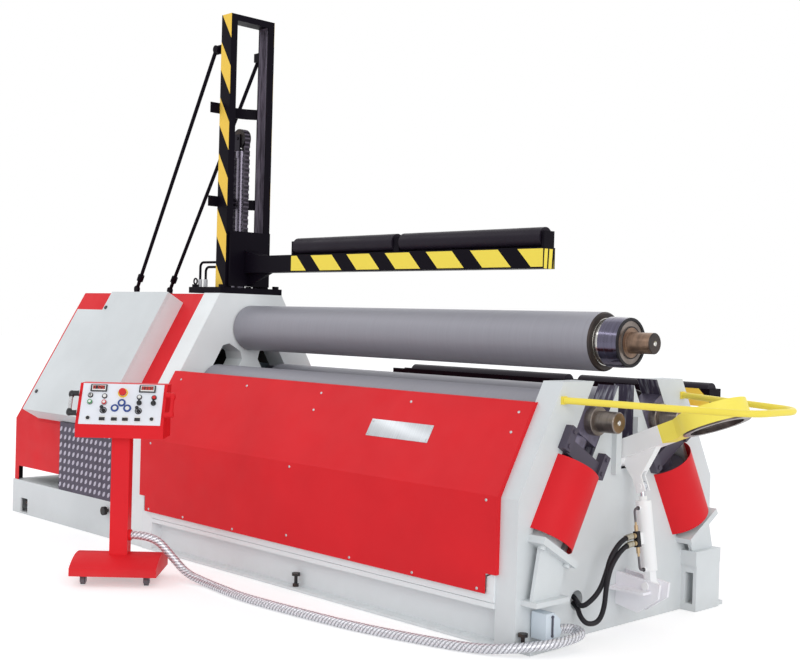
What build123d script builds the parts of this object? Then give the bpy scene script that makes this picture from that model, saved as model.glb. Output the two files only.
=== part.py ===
from build123d import *
import math
import os

# Plate rolling machine: three rolls between two side frames on a welded base, with a drop end,
# an overhead support arm on a mast, a rear support and a control console on wheels.
# X runs along the rolls towards the drop end, Y points to the rear and Z points up.
# The origin lies on the floor under the middle of the base. Sizes are in millimetres.

# Fits
fit = 0.05
gap = 0.3
sheet = 4

# Rolls and their slides
top_roll_diameter = 320
lower_roll_diameter = 280
roll_length = 3127
roll_end_gap = 8
top_roll_height = 1494
lower_roll_height = 1093
lower_roll_spread = 285
slide_lean = math.radians(30)
slide_half_width = 98
block_top = 80
block_bottom = 105
slot_end_clearance = 141
top_journal_radius = 100
lower_journal_radius = 74.5
lower_shaft_radius = 55
lower_shaft_length = 163
lift_rod_radius = 60
lift_barrel_radius = 120
lift_barrel_top = 330
lift_barrel_bottom = 700
guard_radius = 178

# Side frames
frame_half_foot = 856
frame_knee = 733
frame_lean = math.radians(30)
drive_frame_thickness = 190
drive_frame_rise = 243
drop_frame_thickness = 130
drop_frame_height = 1295

# Base
base_length = 5144
base_proud = 10
base_height = 256
base_plate = 14
base_flange = 16
rail_depth = 90
anchor_spread_x = 2180
anchor_inset = 46
anchor_hole_radius = 14

# Drop end
yoke_hinge_inset = 27
yoke_hinge_height = 885
yoke_thickness = 95
yoke_setback = 33
yoke_neck_half_width = 62
yoke_ring_radius = 175
yoke_open_angle = 68
yoke_notch_half_width = 70
hinge_pin_radius = 20
bearing_radius = 135
bearing_length = 126
bearing_taper = 0.07
top_stub_length = 147
tilt_pin_rise = 80.5
tilt_pin_reach = 178
tilt_pivot_reach = 187
tilt_pivot_height = 245
hoop_height = 1204
hoop_drop = 16
hoop_reach = 871
hoop_tip_half_width = 238
hoop_root_y = 533
hoop_tube_radius = 17

# Housing and cabinet
housing_left = -2564
housing_rise = 236
housing_gap_top = 363
cabinet_left_inset = 330
cabinet_right_inset = 203
cabinet_depth = 150
cabinet_notch_width = 370
cabinet_notch_height = 140
door_thickness = 25
treadplate_left_inset = 713
treadplate_right_inset = 93
treadplate_top = 760

# Mast and overhead arm
mast_plate_height = 43
mast_setback = 176
mast_depth = 117
mast_inner = 139
mast_outer = 194
mast_height = 1958
mast_cylinder_inset = 12
sheave_rise = 1090
sheave_pitch_radius = 65
chain_half_thickness = 7
chain_half_width = 24
carriage_height = 405
arm_end = 2026
arm_half_width = 54
arm_rise = 110
arm_depth = 119
arm_roller_radius = 57
arm_roller_rise = 59

# Rear support
support_setback = 134
support_left = -179
support_right = 2499
support_roller_radius = 52
support_roller_height = 1206
support_beam_half_width = 62
support_beam_bottom = 1120
support_beam_top = 1224

# Console
console_x = 75.6
console_y = -1505.2
console_yaw = 47
column_half_side = 52.5
console_box_half_width = 255
console_box_bottom = 850
console_lip_height = 75
console_lip_front = -110
panel_rise = 235
panel_setback = 120
panel_half_width = 236.5
panel_plate = 4
control_column_outer = 185
control_column_inner = 102
display_column = 142
display_row = 98
button_stem = 9
joystick_ball = 12

# Cords
conduit_radius = 24
hose_radius = 13

# Stations along the machine
end_x = base_length / 2
drop_inner = end_x - drop_frame_thickness
drop_mid = end_x - drop_frame_thickness / 2
roll_right = drop_inner - roll_end_gap
roll_left = roll_right - roll_length
drive_face = roll_left - roll_end_gap
drive_back = drive_face - drive_frame_thickness
drive_mid = (drive_face + drive_back) / 2
hinge_x = end_x - yoke_hinge_inset
top_radius = top_roll_diameter / 2
lower_radius = lower_roll_diameter / 2
base_half_width = frame_half_foot + base_proud
anchor_spread_y = base_half_width - anchor_inset
support_y = base_half_width + support_setback
drive_frame_height = top_roll_height + drive_frame_rise
housing_height = top_roll_height + housing_rise
cabinet_left = housing_left + cabinet_left_inset
cabinet_right = drive_back - cabinet_right_inset
treadplate_left = housing_left + treadplate_left_inset
treadplate_right = drive_back - treadplate_right_inset


def block(x0, x1, y0, y1, z0, z1):
    corner = (Align.MIN, Align.MIN, Align.MIN)
    return Pos(x0, y0, z0) * Box(x1 - x0, y1 - y0, z1 - z0, align=corner)


def rod(start, end, radius):
    run = Vector(*end) - Vector(*start)
    foot = (Align.CENTER, Align.CENTER, Align.MIN)
    return Plane(origin=start, z_dir=run) * Cylinder(radius, run.length, align=foot)


def across(points, x0, x1):
    face = make_face(Polyline(*[(x0, y, z) for y, z in points], close=True))
    return extrude(face, amount=x1 - x0, dir=(1, 0, 0))


def along(points, y0, y1):
    face = make_face(Polyline(*[(x, y0, z) for x, z in points], close=True))
    return extrude(face, amount=y1 - y0, dir=(0, 1, 0))


def turned(points, y, z):
    face = make_face(Polyline(*[(x, y, z + radius) for x, radius in points], close=True))
    return revolve(face, axis=Axis((0, y, z), (1, 0, 0)))


def rear(shape):
    return mirror(shape, about=Plane.XZ)


def group(*shapes):
    return Compound(children=[solid for shape in shapes for solid in shape.solids()])


def hexagon(x, y, z, radius, height):
    return Pos(x, y, z) * extrude(RegularPolygon(radius, 6), amount=height)


def half_width(z, proud=0):
    sloped = frame_half_foot + proud / math.cos(frame_lean) - (z - frame_knee) * math.tan(frame_lean)
    return min(frame_half_foot + proud, sloped)


def front_wall(z0, z1, outer, inner, x0, x1):
    def line(proud):
        bend = frame_knee + proud * (1 - math.cos(frame_lean)) / math.sin(frame_lean)
        heights = [z for z in (z0, bend, z1) if z0 <= z <= z1]
        return [(-half_width(z, proud), z) for z in heights]

    return across(line(outer) + line(inner)[::-1], x0, x1)


def slide_point(below, inward):
    y = -lower_roll_spread - below * math.sin(slide_lean) + inward * math.cos(slide_lean)
    z = lower_roll_height - below * math.cos(slide_lean) - inward * math.sin(slide_lean)
    return y, z


def slide_shape(corners, x0, x1):
    return across([slide_point(below, inward) for below, inward in corners], x0, x1)


def slide_box(below0, below1, inward0, inward1, x0, x1):
    corners = [(below0, inward0), (below0, inward1), (below1, inward1), (below1, inward0)]
    return slide_shape(corners, x0, x1)


def slide_rod(below0, below1, x, radius):
    return rod((x, *slide_point(below0, 0)), (x, *slide_point(below1, 0)), radius)


def cord(points, radius):
    corners = [Vector(*point) for point in points]
    bends = []
    for before, corner, after in zip(corners, corners[1:], corners[2:]):
        turn = (corner - before).get_angle(after - corner)
        reach = 0.45 * min((corner - before).length, (after - corner).length)
        bends.append(reach / math.tan(math.radians(turn / 2)))
    path = FilletPolyline(*corners, radius=bends)
    tube = sweep(Plane(origin=path @ 0, z_dir=path % 0) * Circle(radius), path=path)
    share = tube.volume / (math.pi * radius**2 * path.length)
    sizes = [round(bend) for bend in bends]
    print("cord", round(path.length), "mm, bends", sizes, "volume", round(share, 4))
    return tube


def box_tube(x0, x1, y0, y1, z0, z1, wall):
    hollow = block(x0 + wall, x1 - wall, y0 + wall, y1 - wall, z0 + wall, z1 - wall)
    drain = rod((x0 + 60, (y0 + y1) / 2, z0 - 1), (x0 + 60, (y0 + y1) / 2, z0 + 2 * wall), 6)
    return block(x0, x1, y0, y1, z0, z1) - hollow - drain


# Base: a decked box under the drive and two channel rails under the rolls
level_positions = [-2384, 885]
level_y = base_half_width - 40
tab_screws = [(end_x + 26, -826), (end_x + 26, 850)]
foot_tab = 22
rail_web = base_half_width - rail_depth
box_inside = base_half_width - base_plate
closing_x = drive_face + 113


def base_frame():
    low = base_flange
    high = base_height - base_flange
    pocket_x = level_positions[0]
    pocket = block(pocket_x - 55, pocket_x + 55, -base_half_width - 1, -box_inside + 1, base_plate, 122)
    side = block(-end_x, drive_back, -base_half_width, -box_inside, 0, base_height) - pocket
    foot = block(-end_x + base_plate, drive_back - base_plate, -box_inside, -box_inside + 90, 0, base_plate)
    web = block(drive_face, drop_inner, -rail_web - base_plate, -rail_web, low, high)
    lower = block(drive_face, drop_inner, -base_half_width, -rail_web, 0, low)
    upper = block(drive_face, drop_inner, -base_half_width, -rail_web, high, base_height)
    closing = block(closing_x - base_plate, closing_x, -base_half_width, -rail_web - base_plate, low, high)
    closing_front = block(drive_face, closing_x - base_plate, -base_half_width, -box_inside, low, high)
    for x in level_positions:
        stud = rod((x, -level_y, -1), (x, -level_y, base_flange + 1), 10 + gap)
        foot -= stud
        lower -= stud
    for x in (-anchor_spread_x, anchor_spread_x):
        anchor = rod((x, -anchor_spread_y, -1), (x, -anchor_spread_y, 30), anchor_hole_radius)
        foot -= anchor
        lower -= anchor
    pieces = []
    for piece in (side, foot, web, lower, upper, closing, closing_front):
        pieces += [piece, rear(piece)]
    pieces.append(block(-end_x, drive_back, -box_inside, box_inside, base_height - base_plate, base_height))
    for x in (-end_x, drive_back - base_plate):
        pieces.append(block(x, x + base_plate, -box_inside, box_inside, 0, base_height - base_plate))
    middle = (drive_back - end_x) / 2
    deck = base_height - base_plate
    pieces.append(block(middle, middle + base_plate, -box_inside, box_inside, base_plate, deck))
    bay = (drop_inner - drive_face) / 4
    for index in range(4):
        x = drive_face + bay * (index + 0.5)
        pieces.append(block(x, x + base_flange, -rail_web, rail_web, 0, high))
    return group(*pieces)


def levelling_screws():
    places = [(x, side * level_y, base_flange) for x in level_positions for side in (-1, 1)]
    places += [(x, y, foot_tab) for x, y in tab_screws]
    screws = []
    for x, y, seat in places:
        screw = rod((x, y, 0), (x, y, 86), 10)
        screw += hexagon(x, y, seat, 18, 18)
        screws.append(screw + rod((x, y, 80), (x, y, 96), 24))
    knob_x = drive_back - 254
    knob_z = 192
    knob = rod((knob_x, -base_half_width, knob_z), (knob_x, -base_half_width - 22, knob_z), 12)
    knob += rod((knob_x, -base_half_width - 20, knob_z), (knob_x, -base_half_width - 44, knob_z), 30)
    return group(*screws, knob)


# Side frames
def frame_plate(x0, x1, top):
    half = [(-half_width(0), 0), (-half_width(frame_knee), frame_knee), (-half_width(top), top)]
    return across(half + [(-y, z) for y, z in half[::-1]], x0, x1)


def drive_side_frame():
    plate = frame_plate(drive_back, drive_face, drive_frame_height)
    edge = slide_half_width + gap
    reach = top_roll_height - lower_roll_height - slot_end_clearance
    tip = reach + 40
    corners = [(260, -edge), (260, edge), (-reach, edge), (-tip, 58), (-tip, -58), (-reach, -edge)]
    slot = slide_shape(corners, drive_back - 1, drive_face + 1)
    window = slide_box(240, lift_barrel_bottom, -135, 135, drive_back - 1, drive_face + 1)
    plate -= slot + window
    plate -= rear(slot + window)
    bore = top_journal_radius + fit
    plate -= rod((drive_back - 1, 0, top_roll_height), (drive_face + 1, 0, top_roll_height), bore)
    return plate


tilt_pivot_x = end_x + tilt_pivot_reach
hose_hole_y = -380
hose_hole_z = 187
pedestal_x = end_x + 100
weld = 5


def drop_side_frame():
    plate = frame_plate(drop_inner, end_x, drop_frame_height)
    edge = slide_half_width + gap
    slot = slide_box(260, -420, -edge, edge, drop_inner - 1, end_x + 1)
    window = slide_box(240, lift_barrel_bottom, -135, 135, drop_inner - 1, end_x + 1)
    plate -= slot + window
    plate -= rear(slot + window)
    half = yoke_notch_half_width
    hinge_z = yoke_hinge_height
    plate -= block(drop_inner - 1, end_x + 1, -half, half, hinge_z - 55, drop_frame_height + 1)
    strip = block(end_x - weld, end_x + 30, -116, -half, hinge_z - 75, hinge_z + 215)
    seat = slide_box(lift_barrel_bottom, lift_barrel_bottom + 35, -150, 150, end_x - weld, pedestal_x)
    for inward in (-110, 110):
        centre = [(end_x + 70, *slide_point(below, inward)) for below in (735, 752)]
        seat += rod(*centre, 16)
    for piece in (strip, seat):
        plate += piece
        plate += rear(piece)
    for y0, y1 in ((-840, -602), (602, 884)):
        plate += block(end_x - weld, end_x + 84, y0, y1, 0, foot_tab)
    seat_under = [slide_point(735, 110), slide_point(735, -110)]
    plate += across(seat_under + [(-800, 250), (-592, 250)], end_x + 38, end_x + 58)
    plate += block(end_x - weld, pedestal_x, -820, -568, 225, 250)
    rear_under = [(-y, z) for y, z in seat_under]
    plate += across(rear_under + [(800, 335), (592, 335)], end_x + 38, end_x + 58)
    plate += block(end_x - weld, pedestal_x, 568, 820, 255, 335)
    column = block(end_x - weld, pedestal_x, 575, 815, 0, 255)
    column -= block(end_x + 28, end_x + 78, 500, 900, 40, 215)
    plate += column
    cheek = [(end_x - weld, 296), (end_x + 272, 266), (end_x + 264, 190)]
    cheek += [(end_x + 136, 100), (end_x - weld, 125)]
    for y0, y1 in ((33, 49), (-49, -33)):
        plate += along(cheek, y0, y1)
    plate += block(end_x - weld, end_x + 220, -120, -49, 211, 225)
    for x, y in tab_screws:
        plate -= rod((x, y, -1), (x, y, foot_tab + 1), 10 + gap)
    plate -= rod((tilt_pivot_x, -60, tilt_pivot_height), (tilt_pivot_x, 60, tilt_pivot_height), 14 + fit)
    plate -= rod((hinge_x, -200, yoke_hinge_height), (hinge_x, 200, yoke_hinge_height), hinge_pin_radius)
    plate -= rod((drop_inner - 1, hose_hole_y, hose_hole_z), (end_x + 1, hose_hole_y, hose_hole_z), 50)
    return plate


def yoke_hinge_pin():
    return rod((hinge_x, -199, yoke_hinge_height), (hinge_x, 199, yoke_hinge_height), hinge_pin_radius - fit)


# Covers between the side frames
cover_proud = 25
cover_top = 1189
cover_left = drive_face - 20
cover_right = drop_inner + 20


def front_cover():
    bottom = base_height + 1
    inside = cover_proud - sheet
    cover = front_wall(bottom, cover_top, cover_proud, inside, cover_left, cover_right)
    for x in (cover_left, cover_right - sheet):
        cover += front_wall(bottom + 100, cover_top, inside, 0, x, x + sheet)
    lip = half_width(cover_top, inside)
    cover += block(drive_face + 4, drop_inner - 4, -lip - 2, -lip + 30, cover_top - sheet, cover_top)
    for x in (cover_left, cover_right - 67):
        cover -= block(x - 1, x + 68, -base_half_width - 60, -half_width(0) - 1, bottom - 1, bottom + 100)
    return cover


def rear_cover():
    return rear(front_cover())


# Drive housing
def housing_front():
    wall = front_wall(housing_gap_top, housing_height - sheet, 0, -sheet, housing_left, drive_back)
    front = -frame_half_foot
    post = block(housing_left, housing_left + 60, front, front + sheet, base_height, housing_gap_top)
    return wall + post


def housing_rear():
    wall = rear(housing_front())
    half = [(-half_width(0, -sheet), housing_gap_top), (-half_width(frame_knee, -sheet), frame_knee)]
    half.append((-half_width(housing_height - sheet, -sheet), housing_height - sheet))
    wall += across(half + [(-y, z) for y, z in half[::-1]], housing_left, housing_left + sheet)
    roof = half_width(housing_height)
    wall += block(housing_left, drive_back, -roof, roof, housing_height - sheet, housing_height)
    for side in (-1, 1):
        y = side * (frame_half_foot - sheet - 30)
        wall += block(housing_left, housing_left + sheet, y - 30, y + 30, base_height, housing_gap_top + 1)
    return wall


def power_pack():
    left = drive_back - 969
    right = left + 600
    half = 330
    top = 712
    tank = block(left, right, -half, half, base_height, top)
    tank -= block(left + 6, right - 6, -half + 6, half - 6, base_height + 6, top + 1)
    lid = block(left - 10, right + 10, -half - 10, half + 10, top, top + 8)
    motor = rod((left + 300, 0, top + 8), (left + 300, 0, top + 28), 140)
    motor += rod((left + 300, 0, top + 28), (left + 300, 0, top + 310), 110)
    valves = block(right - 160, right - 60, -200, 200, top + 8, top + 100)
    return group(tank, lid, motor, valves)


# Electrical cabinet on the sloping front of the housing
slope = Plane(
    origin=(0, -frame_half_foot, frame_knee),
    x_dir=(1, 0, 0),
    z_dir=(0, -math.cos(frame_lean), math.sin(frame_lean)),
)


def slope_point(up, out):
    y = -frame_half_foot + up * math.sin(frame_lean) - out * math.cos(frame_lean)
    z = frame_knee + up * math.cos(frame_lean) + out * math.sin(frame_lean)
    return y, z


def cabinet_slab(x0, x1, foot, head, inner, outer):
    corners = [(foot, inner), (foot, outer), (head, outer), (head, inner)]
    return across([slope_point(*corner) for corner in corners], x0, x1)


cabinet_foot = 25
cabinet_rise = drive_frame_height - frame_knee - cabinet_depth * math.sin(frame_lean)
cabinet_top = cabinet_rise / math.cos(frame_lean)
notch_x = cabinet_left + cabinet_notch_width
notch_top = cabinet_top - cabinet_notch_height / math.cos(frame_lean)
door_back = cabinet_depth - door_thickness


def cabinet_outline(inset, inner, outer):
    left = cabinet_left + inset
    right = cabinet_right - inset
    foot = cabinet_foot + inset
    wide = cabinet_slab(left, right, foot, notch_top - inset, inner, outer)
    return wide + cabinet_slab(notch_x + inset, right, foot, cabinet_top - inset, inner, outer)


def electrical_cabinet():
    return cabinet_outline(0, 0, door_back - gap) - cabinet_outline(sheet, sheet, door_back)


def cabinet_door():
    door = cabinet_outline(0, door_back, cabinet_depth)
    door -= cabinet_outline(sheet, door_back - 1, cabinet_depth - sheet)
    for x, up in ((cabinet_left + 70, 180), (notch_x + 40, cabinet_top - 143)):
        foot = (x, *slope_point(up, cabinet_depth - 1))
        head = (x, *slope_point(up, cabinet_depth + 9))
        door += rod(foot, head, 14)
    return door


def treadplate_guard():
    front = -base_half_width
    plate = block(treadplate_left, treadplate_right, front, front + 5, base_height, treadplate_top)
    back = -frame_half_foot
    plate += block(treadplate_left, treadplate_right, front, back, treadplate_top - 5, treadplate_top)
    for x in (treadplate_left + 60, treadplate_right - 60):
        plate += block(x - 25, x + 25, front + 4, back, 420, 470)
    return plate


# Rolls, slides and drives
shaft_end = drive_back - 209
bearing_left = roll_right + 36
bearing_right = bearing_left + bearing_length


def top_roll():
    profile = [(shaft_end, 0), (shaft_end, 70), (drive_back, 70), (drive_back, top_journal_radius)]
    profile += [(roll_left, top_journal_radius), (roll_left, top_radius), (roll_right, top_radius)]
    profile += [(roll_right, 125), (bearing_left, 125), (bearing_left, 80), (bearing_right, 80)]
    stub_end = bearing_right + top_stub_length
    profile += [(bearing_right, 56), (stub_end, 56), (stub_end, 0)]
    return turned(profile, 0, top_roll_height)


def top_roll_bearing():
    end_radius = bearing_radius - (bearing_right - hinge_x) * bearing_taper
    profile = [(bearing_left, 80 + fit), (bearing_left, bearing_radius), (hinge_x, bearing_radius)]
    profile += [(bearing_right, end_radius), (bearing_right, 80 + fit)]
    return turned(profile, 0, top_roll_height)


def gearmotor(face, radius, bore, y, z):
    end = shaft_end - 5
    profile = [(face, bore), (face, radius), (face - 300, radius), (face - 330, radius - 45)]
    profile += [(face - 520, radius - 45), (face - 520, 0), (end, 0), (end, bore)]
    return turned(profile, y, z)


def top_gearmotor():
    return gearmotor(drive_back, 150, 70 + fit, 0, top_roll_height)


drive_block_back = drive_back - 8


def front_roll():
    journal = lower_journal_radius
    profile = [(shaft_end, 0), (shaft_end, 50), (drive_block_back, 50), (drive_block_back, journal)]
    profile += [(roll_left, journal), (roll_left, lower_radius), (roll_right, lower_radius)]
    profile += [(roll_right, journal), (end_x + 43, journal)]
    profile += [(end_x + 43, lower_shaft_radius), (end_x + lower_shaft_length, lower_shaft_radius)]
    profile += [(end_x + lower_shaft_length, 0)]
    return turned(profile, -lower_roll_spread, lower_roll_height)


def front_roll_slide():
    blocks = []
    stations = [(drop_inner + 2, end_x - 2, drop_mid), (drive_block_back, drive_face - 1, drive_mid)]
    for x0, x1, middle in stations:
        bearing = slide_box(-block_top, block_bottom, -slide_half_width, slide_half_width, x0, x1)
        bearing += slide_rod(block_bottom - 5, 590, middle, lift_rod_radius)
        start = (x0 - 1, -lower_roll_spread, lower_roll_height)
        end = (x1 + 1, -lower_roll_spread, lower_roll_height)
        blocks.append(bearing - rod(start, end, lower_journal_radius + fit))
    return group(*blocks)


def front_gearmotor():
    return gearmotor(drive_block_back, 138, 50 + fit, -lower_roll_spread, lower_roll_height)


def lift_cylinders():
    barrels = []
    for x in (drop_mid, drive_mid):
        barrel = slide_rod(lift_barrel_top, lift_barrel_bottom, x, lift_barrel_radius)
        barrel -= slide_rod(lift_barrel_top - 1, 620, x, lift_rod_radius + fit)
        barrels += [barrel, rear(barrel)]
    return group(*barrels)


def cylinder_guards():
    guard = slide_rod(270, 670, drop_mid, guard_radius) - slide_rod(260, 680, drop_mid, guard_radius - 3)
    guard -= slide_box(250, 700, -200, 200, drop_mid - guard_radius - 1, end_x)
    return group(guard, rear(guard))


def cylinder_straps():
    strap = slide_box(172, 250, -138, 138, end_x, end_x + 28)
    for side in (-1, 1):
        edges = sorted((side * 132, side * 184))
        strap += slide_box(118, 246, *edges, end_x, end_x + 45)
        for below in (142, 222):
            y, z = slide_point(below, side * 158)
            strap += rod((end_x + 45, y, z), (end_x + 53, y, z), 11)
    return group(strap, rear(strap))


# Drop end
yoke_swing = Axis((hinge_x, 0, yoke_hinge_height), (0, 1, 0))
yoke_inner = hinge_x - yoke_setback - yoke_thickness / 2
yoke_outer = yoke_inner + yoke_thickness


def drop_end_yoke():
    inner = yoke_inner
    outer = yoke_outer
    neck = yoke_neck_half_width
    shoulder = top_roll_height - yoke_ring_radius
    half = [(-neck, yoke_hinge_height), (-neck, shoulder - 19), (-150, shoulder + 85)]
    yoke = across(half + [(-y, z) for y, z in half[::-1]], inner, outer)
    yoke += rod((inner, 0, top_roll_height), (outer, 0, top_roll_height), yoke_ring_radius)
    yoke += rod((hinge_x, -neck, yoke_hinge_height), (hinge_x, neck, yoke_hinge_height), yoke_thickness / 2)
    yoke -= rod((inner - 1, 0, top_roll_height), (outer + 1, 0, top_roll_height), 158)
    pin_x = hinge_x + tilt_pin_reach
    pin_z = yoke_hinge_height + tilt_pin_rise
    fork = [(outer - weld, yoke_hinge_height + 15), (pin_x - 50, pin_z - 27), (pin_x + 32, pin_z - 27)]
    fork += [(pin_x + 32, pin_z + 27), (pin_x - 50, pin_z + 27), (outer - weld, yoke_hinge_height + 258)]
    slot = tilt_rod_radius + 0.4
    lever = along(fork, -slot - 9, slot + 9)
    yoke += lever - block(pin_x - 68, pin_x + 40, -slot, slot, pin_z - 90, pin_z + 90)
    for side in (-1, 1):
        head = [(pin_x, side * (slot + proud), pin_z) for proud in (9, 15)]
        yoke += rod(*head, 16)
    hinge = [(hinge_x, side * (neck + 1), yoke_hinge_height) for side in (-1, 1)]
    yoke -= rod(*hinge, hinge_pin_radius)
    return yoke.rotate(yoke_swing, yoke_open_angle)


def yoke_bush():
    bore = bearing_radius + 0.4
    flange = yoke_outer + 8
    profile = [(yoke_inner, bore + 7.6), (yoke_inner, 158 - fit), (yoke_outer, 158 - fit)]
    profile += [(yoke_outer, 170), (flange, 170), (flange, bore), (hinge_x, bore)]
    return turned(profile, 0, top_roll_height).rotate(yoke_swing, yoke_open_angle)


open_turn = math.radians(yoke_open_angle)
tilt_pin_x = hinge_x + tilt_pin_reach * math.cos(open_turn) + tilt_pin_rise * math.sin(open_turn)
tilt_pin_z = yoke_hinge_height - tilt_pin_reach * math.sin(open_turn) + tilt_pin_rise * math.cos(open_turn)
tilt_lean = math.degrees(math.atan2(tilt_pin_x - tilt_pivot_x, tilt_pin_z - tilt_pivot_height))
tilt_length = math.hypot(tilt_pin_x - tilt_pivot_x, tilt_pin_z - tilt_pivot_height)
tilt_place = Pos(tilt_pivot_x, 0, tilt_pivot_height) * Rot(0, tilt_lean, 0)
tilt_barrel_top = tilt_length - 75
tilt_rod_radius = 14
tilt_barrel_radius = 41
valve_heights = (86, tilt_barrel_top - 35)
valve_back = -70
valve_front = -98
valve_middle = -84
fitting_end = -130


def tilt_cylinder():
    barrel = rod((0, 0, 75), (0, 0, tilt_barrel_top), tilt_barrel_radius)
    barrel += rod((0, -31, 0), (0, 31, 0), 30)
    barrel += block(-20, 20, -28, 28, 0, 78)
    barrel += rod((0, -56, 0), (0, 56, 0), 14)
    for side in (-1, 1):
        barrel += rod((0, side * 49.3, 0), (0, side * 57, 0), 20)
    barrel += block(-8, 8, valve_back, -30, 215, 275)
    for height in valve_heights:
        barrel += rod((0, -30, height), (0, -50, height), 11)
    barrel += rod((0, 0, tilt_barrel_top - 5), (0, 0, tilt_barrel_top + 22), 21)
    barrel -= rod((0, 0, 160), (0, 0, tilt_barrel_top + 23), tilt_rod_radius + fit)
    return tilt_place * barrel


def tilt_rod():
    shaft = rod((0, 0, 170), (0, 0, tilt_length - 15), tilt_rod_radius)
    shaft += rod((0, -tilt_rod_radius, tilt_length), (0, tilt_rod_radius, tilt_length), 26)
    return tilt_place * shaft


hose_heights = (226, 264)


def lock_valve():
    valve = block(-13, 13, valve_front, valve_back, 205, 285)
    for height in hose_heights:
        valve += rod((0, valve_front, height), (0, fitting_end, height), 10)
        valve += rod((0, valve_front - 6, height), (0, valve_front - 20, height), 14)
    for start, port in ((210, valve_heights[0]), (280, valve_heights[1])):
        middle = start + (port - start) * 0.3
        valve += rod((0, valve_middle, start), (0, valve_middle, middle), 10)
        pipe = [(0, valve_middle, (start + middle) / 2), (0, valve_middle, port), (0, -50, port)]
        pipe = FilletPolyline(*pipe, radius=18)
        valve += sweep(Plane(origin=pipe @ 0, z_dir=pipe % 0) * Circle(6), path=pipe)
        valve += rod((0, -50, port), (0, -54, port), 11)
    return tilt_place * valve


def hoop_guard():
    root = end_x + 8
    tip = end_x + hoop_reach
    low = hoop_height - hoop_drop
    half = hoop_tip_half_width
    near = [(root, -hoop_root_y, hoop_height), (tip, -half, low)]
    path = FilletPolyline(*near, (tip, half, low), (root, hoop_root_y, hoop_height), radius=200)
    hoop = sweep(Plane(origin=path @ 0, z_dir=path % 0) * Circle(hoop_tube_radius), path=path)
    for y in (-hoop_root_y, hoop_root_y):
        hoop += block(end_x, end_x + 10, y - 20, y + 20, hoop_height - 20, hoop_height + 20)
    return hoop


# Mast and overhead arm
mast_floor = drive_frame_height + mast_plate_height
mast_back = drive_face - mast_setback
mast_front = mast_back + mast_depth
mast_top = mast_floor + mast_height
mast_cylinder_x = mast_back + mast_cylinder_inset
sheave_height = mast_floor + sheave_rise
carriage_top = mast_floor + carriage_height
arm_bottom = mast_floor + arm_rise
arm_top = arm_bottom + arm_depth
arm_roller_height = arm_top + arm_roller_rise
stay_top = (mast_back - 60, mast_outer, mast_top - 236)
stay_foot = (drive_back - 1099, 153, housing_height + 38)
mast_strap_reach = 270


def mast_strap(z):
    outline = []
    for back in (mast_back, mast_back - 10):
        outline.append(Line((back, -mast_strap_reach, z), (back, -150, z)))
        outline.append(ThreePointArc((back, -150, z), (back - 68, 0, z), (back, 150, z)))
        outline.append(Line((back, 150, z), (back, mast_strap_reach, z)))
    for y in (-mast_strap_reach, mast_strap_reach):
        outline.append(Line((mast_back, y, z), (mast_back - 10, y, z)))
    return extrude(make_face(outline), amount=75, dir=(0, 0, 1))


def mast_frame():
    roof = half_width(drive_frame_height)
    frame = block(drive_face - 388, drive_face, -roof, roof, drive_frame_height, mast_floor)
    for x in (drive_face - 358, drive_face - 30):
        for y in (36 - roof, roof - 36):
            frame += hexagon(x, y, mast_floor, 24, 20)
    frame += Pos(drive_face - 358, 36 - roof, mast_floor + 42) * Rot(90, 0, 40) * Torus(20, 6)
    outer = mast_outer
    upright = block(mast_back, mast_front, -outer, -mast_inner, mast_floor - weld, mast_top)
    upright -= block(mast_back + 10, mast_front - 10, -outer + 10, -mast_inner + 1, mast_floor, mast_top + 1)
    x, y, z = stay_top
    lug = block(x - 28, mast_back + 2, -y + 16, -y + 28, z - 32, z + 32)
    lug += rod((x, -y + 20, z), (x, -y - 14, z), 11)
    for piece in (upright, lug):
        frame += piece
        frame += rear(piece)
    frame += block(mast_back, mast_front, -outer, outer, mast_top - 45, mast_top)
    for strap_z in (mast_floor + 582, mast_floor + 1252):
        frame += mast_strap(strap_z)
    chain_x = mast_cylinder_x - sheave_pitch_radius
    anchor = chain_half_width + 5
    frame += block(chain_x - 14, chain_x + 14, -anchor, anchor, mast_floor - weld, mast_floor + 10)
    for x, y, rise in ((drive_face - 364, 80 - roof, 182), (drive_face - 312, 92 - roof, 148)):
        frame += rod((x, y, mast_floor - weld), (x, y, mast_floor + 58), 15)
        top = mast_floor + rise
        bend = FilletPolyline((x, y, mast_floor), (x, y, top), (mast_back + 2, y + 20, top), radius=34)
        frame += sweep(Plane(origin=bend @ 0, z_dir=bend % 0) * Circle(9), path=bend)
    return frame


def stay_rods():
    run = Vector(*stay_foot) - Vector(*stay_top)
    start = Vector(*stay_top) + run * 0.008
    end = Vector(*stay_top) + run * 0.992
    stay = rod(tuple(start), tuple(end), 14)
    for point, radius in ((stay_top, 28), (stay_foot, 26)):
        x, y, z = point
        stay += rod((x, y - 12, z), (x, y + 12, z), radius)
    for share in (0.938, 0.951):
        collar = Vector(*stay_top) + run * share
        stay += rod(tuple(collar), tuple(collar + run.normalized() * 22), 25)
    x, y, z = stay_foot
    stay += block(x - 45, x + 45, y - 28, y + 28, housing_height, housing_height + 12)
    stay += block(x - 22, x + 22, y - 12, y + 12, housing_height + 10, z)
    x, y, z = stay_top
    stay -= rod((x, y - 20, z), (x, y + 20, z), 11 + gap)
    return group(stay, rear(stay))


mast_rod_radius = 22
mast_barrel_top = sheave_height - 90


def mast_cylinder():
    x = mast_cylinder_x
    barrel = rod((x, 0, mast_floor), (x, 0, mast_barrel_top), 33)
    barrel += rod((x, 0, mast_floor), (x, 0, mast_floor + 40), 48)
    barrel += rod((x, 0, mast_barrel_top - 50), (x, 0, mast_barrel_top), 40)
    barrel -= rod((x, 0, mast_floor + 50), (x, 0, mast_barrel_top + 1), mast_rod_radius + fit)
    return barrel


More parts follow.
